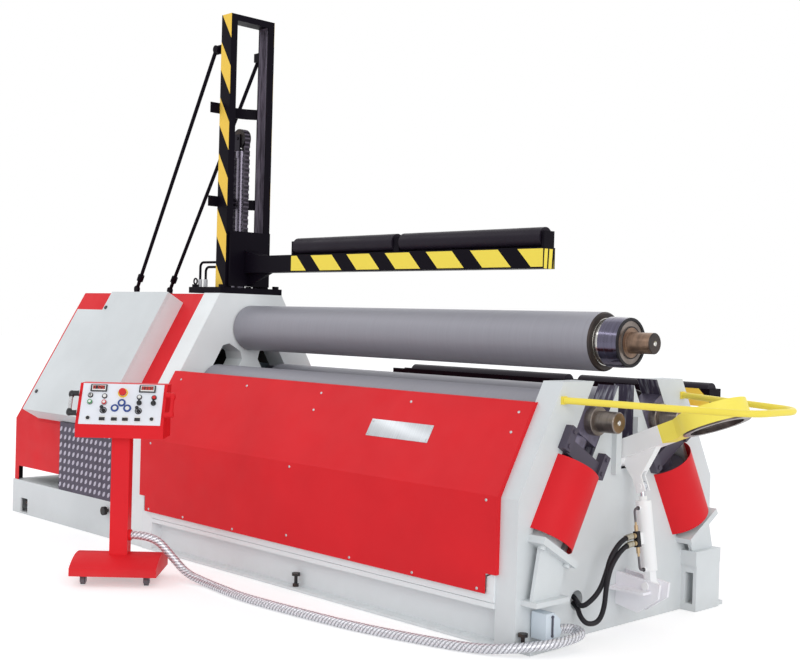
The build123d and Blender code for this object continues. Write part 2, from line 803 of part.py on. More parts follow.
def mast_rod():
    x = mast_cylinder_x
    ram = rod((x, 0, mast_floor + 70), (x, 0, mast_barrel_top + 6), mast_rod_radius)
    cheek = chain_half_width + 7
    outside = cheek + 11
    ram += block(x - 30, x + 30, -outside, outside, mast_barrel_top + 4, mast_barrel_top + 14)
    for y0, y1 in ((cheek, outside), (-outside, -cheek)):
        ram += block(x - 30, x + 30, y0, y1, mast_barrel_top + 4, sheave_height + 30)
    ram += rod((x, -outside - 6, sheave_height), (x, outside + 6, sheave_height), 12)
    return ram


def chain_sheave():
    x = mast_cylinder_x
    root = sheave_pitch_radius - chain_half_thickness - gap
    half = chain_half_width + 6
    wheel = rod((x, -half, sheave_height), (x, half, sheave_height), root)
    for y0, y1 in ((chain_half_width + gap, half), (-half, -chain_half_width - gap)):
        wheel += rod((x, y0, sheave_height), (x, y1, sheave_height), root + 13)
    return wheel - rod((x, -half - 1, sheave_height), (x, half + 1, sheave_height), 12 + fit)


def lift_chain():
    x = mast_cylinder_x
    inner = sheave_pitch_radius - chain_half_thickness
    outer = sheave_pitch_radius + chain_half_thickness
    half = chain_half_width
    chain = rod((x, -half, sheave_height), (x, half, sheave_height), outer)
    chain -= rod((x, -half - 1, sheave_height), (x, half + 1, sheave_height), inner)
    chain -= block(x - 100, x + 100, -half - 1, half + 1, sheave_height - 100, sheave_height)
    chain += block(x + inner, x + outer, -half, half, carriage_top, sheave_height)
    chain += block(x - outer, x - inner, -half, half, mast_floor + 10, sheave_height)
    return chain


carriage_bottom = mast_floor + 12
carriage_face = mast_front + 12
arm_roller_gap = (806, 869)
arm_roller_left = -177
arm_roller_right = 2000


def carriage_arm():
    plate = block(carriage_face, carriage_face + 20, -176, 176, carriage_bottom, carriage_top)
    inner = mast_inner - 9
    pad = [(carriage_bottom + 8, carriage_bottom + 118), (carriage_top - 118, carriage_top - 8)]
    cheek = block(mast_back + 6, carriage_face + 5, -inner, -inner + 12, carriage_bottom, carriage_top)
    for z0, z1 in pad:
        cheek += block(mast_back + 11, mast_front - 11, -mast_outer + 11, -inner + 2, z0, z1)
    plate += cheek + rear(cheek)
    chain_x = mast_cylinder_x + sheave_pitch_radius
    lug = chain_half_width + 10
    plate += block(chain_x - 12, carriage_face + 5, -lug, lug, carriage_top - 35, carriage_top)
    face = carriage_face + 20
    plate += box_tube(face - weld, arm_end, -arm_half_width, arm_half_width, arm_bottom, arm_top, 6)
    lower = [(face - weld, carriage_bottom), (face + 260, arm_bottom + 2), (face - weld, arm_bottom + 2)]
    upper = [(face - weld, arm_top - 2), (face + 190, arm_top - 2), (face - weld, arm_top + 42)]
    plate += along(lower, -14, 14) + along(upper, -arm_half_width, arm_half_width)
    ends = [(arm_roller_left - 26, arm_roller_left - 8), (arm_roller_gap[0] + 8, arm_roller_gap[1] - 8)]
    ends.append((arm_roller_right + 8, arm_end))
    for x0, x1 in ends:
        plate += block(x0, x1, -44, 44, arm_top - 2, arm_roller_height + 34)
    middle = (arm_roller_left - 20, arm_end - 2)
    plate += rod((middle[0], 0, arm_roller_height), (middle[1], 0, arm_roller_height), 16)
    return plate


def arm_roller(x0, x1):
    shell = rod((x0, 0, arm_roller_height), (x1, 0, arm_roller_height), arm_roller_radius)
    return shell - rod((x0 - 1, 0, arm_roller_height), (x1 + 1, 0, arm_roller_height), 16 + fit)


# Rear support
support_columns_x = (700, 2200)
support_ram_radius = 40
support_barrel_top = 980
support_brackets = ((-32, -8), (1425, 1515), (2483, support_right))


def support_columns():
    columns = []
    for x in support_columns_x:
        column = rod((x, support_y, 10), (x, support_y, support_barrel_top), 56)
        column += block(x - 90, x + 90, base_half_width, support_y + 70, 0, 20)
        column += block(x - 90, x + 90, base_half_width, base_half_width + 16, 0, base_height)
        column += block(x - 45, x + 45, base_half_width + 10, support_y, base_height - 26, base_height)
        column += rod((x, support_y, support_barrel_top - 50), (x, support_y, support_barrel_top), 64)
        bore = support_ram_radius + fit
        columns.append(column - rod((x, support_y, 60), (x, support_y, support_barrel_top + 1), bore))
    return group(*columns)


def support_beam():
    front = support_y - support_beam_half_width
    back = support_y + support_beam_half_width
    bottom = support_beam_bottom
    beam = block(support_left, support_right, front, back, bottom, support_beam_top)
    beam -= block(support_left - 1, support_right + 1, front + 6, back - 6, bottom + 6, support_beam_top + 1)
    for x in support_columns_x:
        beam += rod((x, support_y, 120), (x, support_y, bottom + 3), support_ram_radius)
    for x0, x1 in support_brackets:
        beam += block(x0, x1, front + 5, back - 5, bottom + 5, support_beam_top - 4)
    z = support_roller_height
    beam += rod((support_brackets[0][0] + 4, support_y, z), (support_right - 4, support_y, z), 14)
    return beam


def support_roller(x0, x1):
    ends = [(x, support_y, support_roller_height) for x in (x0, x1)]
    bore = [(x, support_y, support_roller_height) for x in (x0 - 1, x1 + 1)]
    return rod(*ends, support_roller_radius) - rod(*bore, 14 + fit)


# Console
console = Pos(console_x, console_y, 0) * Rot(0, 0, console_yaw)
panel_bottom = console_box_bottom + console_lip_height
panel_top = panel_bottom + panel_rise
panel_back = console_lip_front + panel_setback
panel_lean = math.degrees(math.atan2(panel_rise, panel_setback))
panel_length = math.hypot(panel_rise, panel_setback)
panel_foot = Pos(0, console_lip_front, panel_bottom) * Rot(panel_lean, 0, 0)
panel = console * panel_foot * Pos(0, panel_length / 2, 0)
base_bottom = 60
wheel_radius = 27
wheel_spread = 183
wheel_rows = (-120, 150)


def console_shell(inset):
    back = 140 - inset
    front = console_lip_front + inset
    points = [(front, console_box_bottom + inset), (front, panel_bottom)]
    points += [(panel_back + inset * 0.6, panel_top - inset), (back, panel_top - inset)]
    points.append((back, console_box_bottom + inset))
    return across(points, -console_box_half_width + inset, console_box_half_width - inset)


def console_box():
    box = console_shell(0) - console_shell(sheet)
    box -= rod((0, 0, console_box_bottom - 1), (0, 0, console_box_bottom + sheet + 1), 40)
    box = console * box
    for x, y, radius in control_places():
        box -= panel * rod((x, y, -20), (x, y, 10), radius + 1)
    for side in (-1, 1):
        x = side * (console_box_half_width + 40)
        handle = rod((x, -92, 990), (x, -36, 1100), 9)
        for y, z in ((-92, 990), (-36, 1100)):
            handle += Pos(x, y, z) * Sphere(15)
            handle += rod((x, y, z), (side * console_box_half_width, y + 8, z), 14)
        box += console * handle
    return box


def control_places():
    places = [(0, 71, button_stem)]
    places += [(-control_column_outer, 8, button_stem), (-control_column_inner, 7, button_stem)]
    places += [(side * control_column_inner, -41, joystick_ball) for side in (-1, 1)]
    places += [(control_column_inner, 9, 12), (control_column_outer, 9, 12)]
    return places


def console_panel():
    half_height = panel_length / 2 - 3
    plate = block(-panel_half_width, panel_half_width, -half_height, half_height, 0, panel_plate)
    for x, y, radius in control_places():
        plate -= rod((x, y, -1), (x, y, panel_plate + 1), radius + fit)
    ring = rod((0, 71, panel_plate), (0, 71, panel_plate + 4), 27) - rod((0, 71, 0), (0, 71, 20), 12)
    displays = []
    for side in (-1, 1):
        x = side * display_column
        face = panel_plate + 9
        displays.append(block(x - 48, x + 48, display_row - 22, display_row + 22, panel_plate, face))
    return panel * group(plate, ring, *displays)


def button(x, y, cap_radius, cap_height):
    top = panel_plate + 10
    stem = rod((x, y, -26), (x, y, top), button_stem)
    return panel * (stem + rod((x, y, top - 1), (x, y, top + cap_height), cap_radius))


def joystick(x, y):
    stick = rod((x, y, panel_plate / 2), (x, y, 52), 5)
    stick += Pos(x, y, panel_plate / 2) * Sphere(joystick_ball)
    return panel * (stick + Pos(x, y, 56) * Sphere(11))


def selector(x, y):
    knob = rod((x, y, -18), (x, y, panel_plate + 2), 6)
    knob += rod((x, y, panel_plate + 1), (x, y, panel_plate + 10), 15)
    knob += block(x - 5, x + 5, y - 14, y + 14, panel_plate + 9, panel_plate + 20)
    return panel * knob


def console_foot(inset):
    half = 198 - inset
    bottom = base_bottom + inset
    path = [Line((0, -half, bottom), (0, -half, 105))]
    path.append(ThreePointArc((0, -half, 105), (0, 0, 166 - inset), (0, half, 105)))
    path.append(Polyline((0, half, 105), (0, half, bottom), (0, -half, bottom)))
    return extrude(make_face(path), amount=250 - inset, dir=(1, 0, 0), both=True)


def console_stand():
    side = column_half_side
    stand = console_foot(0) - console_foot(sheet)
    stand += block(-side, side, -side, side, 150, console_box_bottom)
    stand -= block(-side + sheet, side - sheet, -side + sheet, side - sheet, 140, console_box_bottom + 1)
    for x in (-wheel_spread, wheel_spread):
        for y in wheel_rows:
            stand += block(x - 20, x + 20, y - 22, y + 22, 56, base_bottom + 1)
            for inner in (x - 18, x + 14):
                stand += block(inner, inner + 4, y - 12, y + 12, 14, 57)
            stand += rod((x - 20, y, wheel_radius), (x + 20, y, wheel_radius), 5)
    stand += rod((side, 0, 270), (side + 14, 0, 270), conduit_radius + 8)
    return console * stand


def console_wheels(y):
    wheels = []
    for x in (-wheel_spread, wheel_spread):
        wheel = rod((x - 12, y, wheel_radius), (x + 12, y, wheel_radius), wheel_radius)
        wheels.append(console * (wheel - rod((x - 13, y, wheel_radius), (x + 13, y, wheel_radius), 5 + fit)))
    return group(*wheels)


# Junction box and cords
gland_y = -622
gland_x = end_x + 68
gland_z = 89


def junction_box():
    left = end_x + 14
    right = end_x + 104
    box = block(left, right, -750, -690, 62, 190)
    slope = [(-691, 66), (-634, 66), (-634, 150), (-684, 186), (-691, 186)]
    box += across(slope, left + 4, right - 4)
    box += block(end_x, left, -735, -645, 80, 172)
    box += rod((gland_x, -635, gland_z), (gland_x, gland_y, gland_z), conduit_radius + 6)
    for z in (80, 172):
        box += rod((right - 6, -705, z), (right + 8, -705, z), 7)
    box += block(right + 1, right + 7, -709, -701, 80, 172)
    return box


def console_conduit():
    turn = math.radians(console_yaw)

    def ahead(distance, height):
        return (console_x + distance * math.cos(turn), console_y + distance * math.sin(turn), height)

    floor = conduit_radius
    route = [ahead(column_half_side + 14, 270), ahead(196, 270), ahead(304, 152), (358, -1226, 52)]
    route += [(500, -1200, floor + 2), (700, -1224, floor), (960, -1252, floor), (1409, -1224, floor)]
    route += [(1811, -1184, floor), (2149, -1106, floor), (2464, -1010, floor)]
    route += [(2610, -915, 40), (2712, -785, 56)]
    loop = 56
    far = gland_x + 2 * loop
    bend_y = gland_y + 62
    route += [(far, bend_y - 108, 68), (far, bend_y, 80), (gland_x + loop, bend_y + 32, 85)]
    route += [(gland_x, bend_y, gland_z), (gland_x, gland_y, gland_z)]
    return cord(route, conduit_radius)


def tilted(x, y, z):
    turn = math.radians(tilt_lean)
    across_x = x * math.cos(turn) + z * math.sin(turn)
    return (tilt_pivot_x + across_x, y, tilt_pivot_height - x * math.sin(turn) + z * math.cos(turn))


def hose_upper():
    x, y, z = tilted(0, fitting_end, hose_heights[1])
    route = [(x, y, z), (x, y - 70, z), (2704, -291, 425), (2690, -318, 330), (2680, -352, 245)]
    route += [(2664, -410, 188), (2630, -425, 172), (2590, -400, 190), (2550, hose_hole_y, hose_hole_z + 16)]
    return cord(route, hose_radius)


def hose_lower():
    x, y, z = tilted(0, fitting_end, hose_heights[0])
    route = [(x, y, z), (x, y - 65, z), (2728, -285, 385), (2726, -322, 280), (2720, -336, 170)]
    route += [(2706, -372, 98), (2672, -424, 90), (2634, -432, 128), (2600, -402, 156)]
    route.append((2553, hose_hole_y, hose_hole_z - 17))
    return cord(route, hose_radius)


nodes = {
    "base_frame": base_frame(),
    "levelling_screws": levelling_screws(),
    "drive_side_frame": drive_side_frame(),
    "drop_side_frame": drop_side_frame(),
    "yoke_hinge_pin": yoke_hinge_pin(),
    "front_cover": front_cover(),
    "rear_cover": rear_cover(),
    "housing_front": housing_front(),
    "housing_rear": housing_rear(),
    "power_pack": power_pack(),
    "electrical_cabinet": electrical_cabinet(),
    "cabinet_door": cabinet_door(),
    "treadplate_guard": treadplate_guard(),
    "top_roll": top_roll(),
    "top_roll_bearing": top_roll_bearing(),
    "top_gearmotor": top_gearmotor(),
    "front_roll": front_roll(),
    "front_roll_slide": front_roll_slide(),
    "front_gearmotor": front_gearmotor(),
    "rear_roll": rear(front_roll()),
    "rear_roll_slide": rear(front_roll_slide()),
    "rear_gearmotor": rear(front_gearmotor()),
    "lift_cylinders": lift_cylinders(),
    "cylinder_guards": cylinder_guards(),
    "cylinder_straps": cylinder_straps(),
    "drop_end_yoke": drop_end_yoke(),
    "yoke_bush": yoke_bush(),
    "tilt_cylinder": tilt_cylinder(),
    "tilt_rod": tilt_rod(),
    "lock_valve": lock_valve(),
    "hoop_guard": hoop_guard(),
    "mast_frame": mast_frame(),
    "stay_rods": stay_rods(),
    "mast_cylinder": mast_cylinder(),
    "mast_rod": mast_rod(),
    "chain_sheave": chain_sheave(),
    "lift_chain": lift_chain(),
    "carriage_arm": carriage_arm(),
    "arm_roller_inner": arm_roller(arm_roller_left, arm_roller_gap[0]),
    "arm_roller_outer": arm_roller(arm_roller_gap[1], arm_roller_right),
    "support_columns": support_columns(),
    "support_beam": support_beam(),
    "support_roller_inner": support_roller(support_brackets[0][1] + 8, support_brackets[1][0] - 8),
    "support_roller_outer": support_roller(support_brackets[1][1] + 8, support_brackets[2][0] - 8),
    "console_stand": console_stand(),
    "console_box": console_box(),
    "console_panel": console_panel(),
    "e_stop_button": button(0, 71, 21, 16),
    "start_button": button(-control_column_outer, 8, 13, 6),
    "stop_button": button(-control_column_inner, 7, 13, 6),
    "joystick_left": joystick(-control_column_inner, -41),
    "joystick_right": joystick(control_column_inner, -41),
    "selector_left": selector(control_column_inner, 9),
    "selector_right": selector(control_column_outer, 9),
    "console_front_wheels": console_wheels(wheel_rows[0]),
    "console_rear_wheels": console_wheels(wheel_rows[1]),
    "junction_box": junction_box(),
    "console_conduit": console_conduit(),
    "hose_upper": hose_upper(),
    "hose_lower": hose_lower(),
}

os.makedirs("parts", exist_ok=True)
for name, shape in nodes.items():
    export_step(shape, f"parts/{name}.step")
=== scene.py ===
import math
import bmesh
import bpy
from mathutils import Matrix, Quaternion, Vector


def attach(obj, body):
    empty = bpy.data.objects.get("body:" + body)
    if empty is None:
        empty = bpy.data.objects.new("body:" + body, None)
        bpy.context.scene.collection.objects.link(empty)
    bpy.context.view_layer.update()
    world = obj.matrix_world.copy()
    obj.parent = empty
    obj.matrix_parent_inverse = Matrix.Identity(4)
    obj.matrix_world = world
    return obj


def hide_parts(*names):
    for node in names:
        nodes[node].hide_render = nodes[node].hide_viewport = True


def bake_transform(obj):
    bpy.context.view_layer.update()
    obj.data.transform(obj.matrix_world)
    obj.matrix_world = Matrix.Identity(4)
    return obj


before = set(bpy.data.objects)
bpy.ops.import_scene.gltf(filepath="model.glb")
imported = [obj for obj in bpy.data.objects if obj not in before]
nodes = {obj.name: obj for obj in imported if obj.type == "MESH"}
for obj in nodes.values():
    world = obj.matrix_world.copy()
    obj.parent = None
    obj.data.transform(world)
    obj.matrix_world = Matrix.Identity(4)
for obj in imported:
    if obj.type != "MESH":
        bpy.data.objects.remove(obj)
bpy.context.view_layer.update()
shed = bpy.context.scene
shed.view_settings.view_transform = "Standard"


# Camera: it stands at the drop end, in front of the machine and a little above the height of the
# lower rolls, with a lens of about 54 mm.
def added(name, data):
    made = bpy.data.objects.new(name, data)
    shed.collection.objects.link(made)
    return made


lens = bpy.data.cameras.new("front_corner")
lens.sensor_fit = "HORIZONTAL"
lens.sensor_width = 36.0
lens.lens = 54.01
lens.clip_end = 300.0
camera = added("front_corner", lens)
look_right = Vector((0.6967, 0.7168, 0.02705))
look_up = Vector((-0.0266, -0.0119, 0.9996))
look_back = Vector((0.7169, -0.6972, 0.01077))
camera.matrix_world = Matrix((look_right, look_up, look_back)).transposed().to_4x4()
camera.location = (6.2706, -5.2736, 1.5830)
shed.camera = camera


# Studio: a pale floor and a white surround under broad soft light. The floor keeps the shadow of the
# machine, and polished metal mirrors the white surround.
def put(tree, kind, sockets=None, **settings):
    made = tree.nodes.new(kind)
    for name, value in settings.items():
        setattr(made, name, value)
    for name, value in (sockets or {}).items():
        if isinstance(value, bpy.types.NodeSocket):
            tree.links.new(value, made.inputs[name])
        else:
            made.inputs[name].default_value = value
    return made


def calc(tree, operation, first, second=0.0):
    return put(tree, "ShaderNodeMath", {0: first, 1: second}, operation=operation).outputs[0]


def seen_directly(tree):
    path = put(tree, "ShaderNodeLightPath").outputs
    either = calc(tree, "MAXIMUM", path["Is Camera Ray"], path["Is Glossy Ray"])
    return calc(tree, "MAXIMUM", either, path["Is Transmission Ray"])


cool_white = (0.96, 0.98, 1.0, 1.0)
pure_white = (1.0, 1.0, 1.0, 1.0)
surround = bpy.data.worlds.new("white_surround")
shed.world = surround
surround.use_nodes = True
sky = surround.node_tree
sky.nodes.clear()
glow = put(sky, "ShaderNodeBackground", {"Color": cool_white, "Strength": 0.72}).outputs[0]
blank = put(sky, "ShaderNodeBackground", {"Color": pure_white, "Strength": 1.0}).outputs[0]
backdrop = put(sky, "ShaderNodeMixShader", {0: seen_directly(sky), 1: glow, 2: blank})
put(sky, "ShaderNodeOutputWorld", {"Surface": backdrop.outputs[0]})


def aimed(lamp, direction):
    holder = added(lamp.name, lamp)
    holder.rotation_euler = Vector(direction).to_track_quat("-Z", "Y").to_euler()
    return holder


for name, direction, strength, spread in (
    ("key_light", (-0.85, 0.40, -0.34), 0.82, 40),
    ("back_light", (0.35, -0.70, -0.62), 0.35, 60),
):
    sun = bpy.data.lights.new(name, "SUN")
    sun.energy = strength
    sun.angle = math.radians(spread)
    aimed(sun, direction)

strip = bpy.data.lights.new("strip_light", "AREA")
strip.shape = "RECTANGLE"
strip.size = 16.0
strip.size_y = 0.8
strip.energy = 170.0
strip_holder = aimed(strip, (0.717, 0.448, -0.534))
strip_holder.location = (-6.1, -5.4, 7.9)

floor_reach = 60.0
floor_level = -0.001
floor_corners = [(-1, -1), (1, -1), (1, 1), (-1, 1)]
floor_spots = [(x * floor_reach, y * floor_reach, floor_level) for x, y in floor_corners]
floor_mesh = bpy.data.meshes.new("floor")
floor_mesh.from_pydata(floor_spots, [], [(0, 1, 2, 3)])
floor = added("floor", floor_mesh)
pale = bpy.data.materials.new("pale_floor")
pale.use_nodes = True
ground = pale.node_tree
ground.nodes.clear()
dull = put(ground, "ShaderNodeBsdfDiffuse", {"Color": (0.93, 0.93, 0.93, 1.0)}).outputs[0]
bright = put(ground, "ShaderNodeBsdfDiffuse", {"Color": (0.80, 0.80, 0.80, 1.0)}).outputs[0]
lift = put(ground, "ShaderNodeEmission", {"Color": pure_white, "Strength": 0.42}).outputs[0]
lit = put(ground, "ShaderNodeAddShader", {0: bright, 1: lift}).outputs[0]
shown = put(ground, "ShaderNodeMixShader", {0: seen_directly(ground), 1: dull, 2: lit})
put(ground, "ShaderNodeOutputMaterial", {"Surface": shown.outputs[0]})
floor_mesh.materials.append(pale)


# Base: a welded box of plate under the drive and two channel rails under the rolls, sprayed light grey
# and dusty near the floor. The rails are painted a lighter grey, as painted light against their shade.
# A grooved lip hangs under the top flange of each rail, a small shoe ties it to the drop-end frame, and
# the base stands on levelling screws of blackened steel.
def shade(rgb):
    def straight(level):
        level = level / 255
        return level / 12.92 if level <= 0.04045 else ((level + 0.055) / 1.055) ** 2.4

    return (*map(straight, rgb), 1.0)


def scaled(rgb, factor):
    return [min(255, level * factor) for level in rgb]


def axis_of(tree, spot, axis):
    return put(tree, "ShaderNodeSeparateXYZ", {"Vector": spot}).outputs[axis]


def beyond(tree, spot, axis, limit):
    return calc(tree, "GREATER_THAN", axis_of(tree, spot, axis), limit)


def tinted(tree, share, hue, rgb):
    both = {"Fac": share, "Color1": hue, "Color2": shade(rgb)}
    return put(tree, "ShaderNodeMixRGB", both).outputs[0]


def noise(tree, spot, scale, detail):
    grain = {"Vector": spot, "Scale": scale, "Detail": detail}
    return put(tree, "ShaderNodeTexNoise", grain).outputs["Fac"]


def stretched(tree, spot, scale):
    return put(tree, "ShaderNodeMapping", {"Vector": spot, "Scale": scale}).outputs[0]


def remap(tree, value, given, wanted):
    span = {"Value": value, "From Min": given[0], "From Max": given[1]}
    span.update({"To Min": wanted[0], "To Max": wanted[1]})
    return put(tree, "ShaderNodeMapRange", span).outputs["Result"]


def two_tone(tree, field, span, dark, light):
    ramp = put(tree, "ShaderNodeValToRGB", {"Fac": field})
    for stop, position, rgb in zip(ramp.color_ramp.elements, span, (dark, light)):
        stop.position = position
        stop.color = shade(rgb)
    return ramp.outputs["Color"]


def dust(tree, spot, hue):
    near_floor = remap(tree, axis_of(tree, spot, "Z"), (0.0, 0.12), (0.24, 0.0))
    share = calc(tree, "MULTIPLY", near_floor, noise(tree, spot, 16.0, 6.0))
    return tinted(tree, share, hue, (164, 158, 150))


def bare_finish(name):
    finish = bpy.data.materials.new(name)
    finish.use_nodes = True
    tree = finish.node_tree
    return finish, tree, put(tree, "ShaderNodeTexCoord").outputs["Object"]


def coat(tree, hue, matt, height, strength):
    ripple = put(tree, "ShaderNodeBump", {"Height": height, "Strength": strength, "Distance": 0.001})
    skin = tree.nodes["Principled BSDF"].inputs
    tree.links.new(hue, skin["Base Color"])
    tree.links.new(matt, skin["Roughness"])
    tree.links.new(ripple.outputs["Normal"], skin["Normal"])
    return skin


noise_span = (0.3, 0.7)


def sprayed(name, rgb, marking=None, rough=0.46, shine=0.22):
    finish, tree, spot = bare_finish(name)
    flow = noise(tree, spot, 2.1, 6.0)
    hue = two_tone(tree, flow, noise_span, scaled(rgb, 0.965), scaled(rgb, 1.015))
    if marking:
        hue = marking(tree, spot, hue)
    wipe = noise(tree, spot, 7.0, 4.0)
    matt = remap(tree, wipe, noise_span, (rough - 0.06, rough + 0.08))
    peel = noise(tree, spot, 260.0, 2.0)
    skin = coat(tree, dust(tree, spot, hue), matt, peel, 0.05)
    skin["Specular IOR Level"].default_value = shine
    return finish


def metal(name, rgb, rough, stretch, amount, stain=None, stain_share=0.0, marking=None, grain=0.10):
    finish, tree, spot = bare_finish(name)
    lines = noise(tree, stretched(tree, spot, stretch), 4.0, 4.0)
    hue = two_tone(tree, lines, noise_span, scaled(rgb, 1 - grain), scaled(rgb, 1 + grain / 2))
    if stain:
        blot = noise(tree, spot, 14.0, 5.0)
        hue = tinted(tree, remap(tree, blot, (0.45, 0.70), (0.0, stain_share)), hue, stain)
    if marking:
        hue = marking(tree, spot, hue)
    matt = remap(tree, lines, noise_span, (rough - 0.05, rough + 0.07))
    skin = coat(tree, hue, matt, lines, 0.3 * grain)
    skin["Metallic"].default_value = amount
    return finish


def dress(finish, *names):
    for name in names:
        slots = nodes[name].data.materials
        slots.clear()
        slots.append(finish)


rail_start = -0.70
grey_paint = (222, 226, 228)


# The rails beyond rail_start get a lighter grey: painted light that stands in for light on their shaded
# faces.
def rails_painted_light(tree, spot, hue):
    return tinted(tree, beyond(tree, spot, "X", rail_start), hue, (238, 242, 244))


light_grey = sprayed("light_grey_paint", grey_paint)
black_steel = metal("blackened_steel", (52, 50, 52), 0.42, (20.0, 20.0, 4.0), 0.8, (96, 74, 58), 0.4)
base_paint = sprayed("base_frame_paint", grey_paint, rails_painted_light)
dress(base_paint, "base_frame")
dress(black_steel, "levelling_screws")


def fixed_to(piece, body):
    if body:
        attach(piece, body)


def settle(name, shell, finishes, body, slot, *stands_for, crease=32):
    bmesh.ops.remove_doubles(shell, verts=shell.verts, dist=1e-6)
    bmesh.ops.recalc_face_normals(shell, faces=shell.faces)
    for face in shell.faces:
        face.smooth = True
    for edge in shell.edges:
        edge.smooth = len(edge.link_faces) == 2 and edge.calc_face_angle(0.0) < math.radians(crease)
    mesh = bpy.data.meshes.new(name)
    shell.to_mesh(mesh)
    shell.free()
    for finish in finishes:
        mesh.materials.append(finish)
    piece = added(name, mesh)
    fixed_to(piece, body)
    if stands_for:
        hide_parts(*stands_for)
    return piece


def skin_between(shell, near_outline, far_outline):
    near = [shell.verts.new(corner) for corner in near_outline]
    far = [shell.verts.new(corner) for corner in far_outline]
    for index in range(len(near)):
        after = (index + 1) % len(near)
        shell.faces.new((near[index], near[after], far[after], far[index]))
    shell.faces.new(near[::-1])
    shell.faces.new(far)


def drawn_bar(shell, outline, run):
    skin_between(shell, outline, [Vector(corner) + Vector(run) for corner in outline])


lip_start = -0.588
lip_length = 3.0295
lip = [(0.8655, 0.2400), (0.8655, 0.2165), (0.8560, 0.2165), (0.8560, 0.2135)]
lip += [(0.8655, 0.2135), (0.8655, 0.1880), (0.8460, 0.1880), (0.8460, 0.2400)]
shoe_face = 0.866
shoe_width = 0.023
shoe = [(2.392, 0.2565), (2.4415, 0.2565), (2.4415, 0.366), (2.420, 0.352), (2.392, 0.338)]
lip_shell = bmesh.new()
for side in (-1, 1):
    drawn_bar(lip_shell, [(lip_start, side * y, z) for y, z in lip], (lip_length, 0.0, 0.0))
    drawn_bar(lip_shell, [(x, side * shoe_face, z) for x, z in shoe], (0.0, -side * shoe_width, 0.0))
settle("rail_lips", lip_shell, [base_paint], "machine", "light_grey_paint")


# Side frames: two thick flame-cut plates that carry the rolls, light grey; the drive-end one is painted
# lighter as painted light against its shade. The drop end has pedestals under its lift cylinders, foot
# tabs, a bracket for the tilt cylinder and the pin of the yoke, and the bracket is painted whiter as
# painted light. The slots for the bearing blocks are bare greased steel, streaked with painted shade
# and painted highlights.
def short_of(tree, spot, axis, limit):
    return calc(tree, "LESS_THAN", axis_of(tree, spot, axis), limit)


def outer_than(tree, spot, axis, limit):
    distance = calc(tree, "ABSOLUTE", axis_of(tree, spot, axis))
    return calc(tree, "GREATER_THAN", distance, limit)


def inner_than(tree, spot, axis, limit):
    return calc(tree, "SUBTRACT", 1.0, outer_than(tree, spot, axis, limit))


def where_all(tree, *masks):
    joined = masks[0]
    for mask in masks[1:]:
        joined = calc(tree, "MULTIPLY", joined, mask)
    return joined


def between(tree, spot, axis, low, high):
    return where_all(tree, short_of(tree, spot, axis, high), beyond(tree, spot, axis, low))


slot_depth = (2.4425, 2.5715)
slot_heights = (0.80, 1.294)
slot_reach = 0.46
bracket_front = 2.575
bracket_height = 0.40
bracket_reach = 0.13


def lit_bracket_and_greased_slots(tree, spot, hue):
    # The tilt-cylinder bracket is painted whiter: painted light on a part that sits in shade.
    bracket = where_all(
        tree,
        beyond(tree, spot, "X", bracket_front),
        short_of(tree, spot, "Z", bracket_height),
        inner_than(tree, spot, "Y", bracket_reach),
    )
    hue = tinted(tree, bracket, hue, (246, 245, 250))
    # The slots get dark and pale streaks: greased steel, with painted shade in the dark streaks and painted
    # highlights in the pale ones.
    smear = noise(tree, stretched(tree, spot, (22.0, 4.0, 3.0)), 2.4, 5.0)
    grease_shade_and_highlights = two_tone(tree, smear, (0.48, 0.78), (72, 66, 84), (190, 192, 202))
    slots = where_all(
        tree,
        between(tree, spot, "X", *slot_depth),
        between(tree, spot, "Z", *slot_heights),
        inner_than(tree, spot, "Y", slot_reach),
    )
    return put(tree, "ShaderNodeMixRGB", {"Fac": slots, "Color1": hue, "Color2": grease_shade_and_highlights}).outputs[0]


hinge_steel = metal("pin_steel", (150, 146, 142), 0.34, (8.0, 8.0, 8.0), 0.95, (104, 84, 66), 0.5)
# The drive-end frame gets a lighter grey than the other frames: painted light on its shaded face.
dress(sprayed("drive_frame_paint", (240, 244, 245)), "drive_side_frame")
dress(sprayed("drop_frame_paint", grey_paint, lit_bracket_and_greased_slots), "drop_side_frame")
dress(hinge_steel, "yoke_hinge_pin")

# Covers: folded sheet in front and behind, sprayed red. Small screws hold them to the side frames, and
# a plain bare plate of aluminium sits on the slope of the front one, held by four rivets.
red_paint = (224, 38, 46)
red_shine = 0.12
red = sprayed("red_paint", red_paint, shine=red_shine)
dress(red, "front_cover", "rear_cover")


def lathe(shell, outline, place, steps, finish=0, marks=None):
    rings = []
    for radius, height in outline:
        turns = [2 * math.pi * step / steps for step in range(steps if radius else 1)]
        spots = [(radius * math.cos(turn), radius * math.sin(turn), height) for turn in turns]
        rings.append([shell.verts.new(place @ Vector(spot)) for spot in spots])
    for number, (near, far) in enumerate(zip(rings, rings[1:])):
        for step in range(steps):
            after = (step + 1) % steps
            corners = [near[step % len(near)], near[after % len(near)]]
            corners += [far[after % len(far)], far[step % len(far)]]
            corners = list(dict.fromkeys(corners))
            if len(corners) > 2:
                face = shell.faces.new(corners)
                face.material_index = marks[number] if marks else finish


def slab(shell, low, high, place, finish=0, round_off=0.0):
    spans = list(zip(low, high))
    corners = [(x, y, z) for x in spans[0] for y in spans[1] for z in spans[2]]
    made = [shell.verts.new(place @ Vector(corner)) for corner in corners]
    faces = []
    for loop in ((0, 1, 3, 2), (4, 6, 7, 5), (0, 4, 5, 1), (2, 3, 7, 6), (0, 2, 6, 4), (1, 5, 7, 3)):
        face = shell.faces.new([made[index] for index in loop])
        face.material_index = finish
        faces.append(face)
    if round_off:
        edges = list(dict.fromkeys(edge for face in faces for edge in face.edges))
        cut = bmesh.ops.bevel(shell, geom=edges, offset=round_off, segments=2, affect="EDGES", profile=0.5)
        for face in cut["faces"]:
            face.material_index = finish


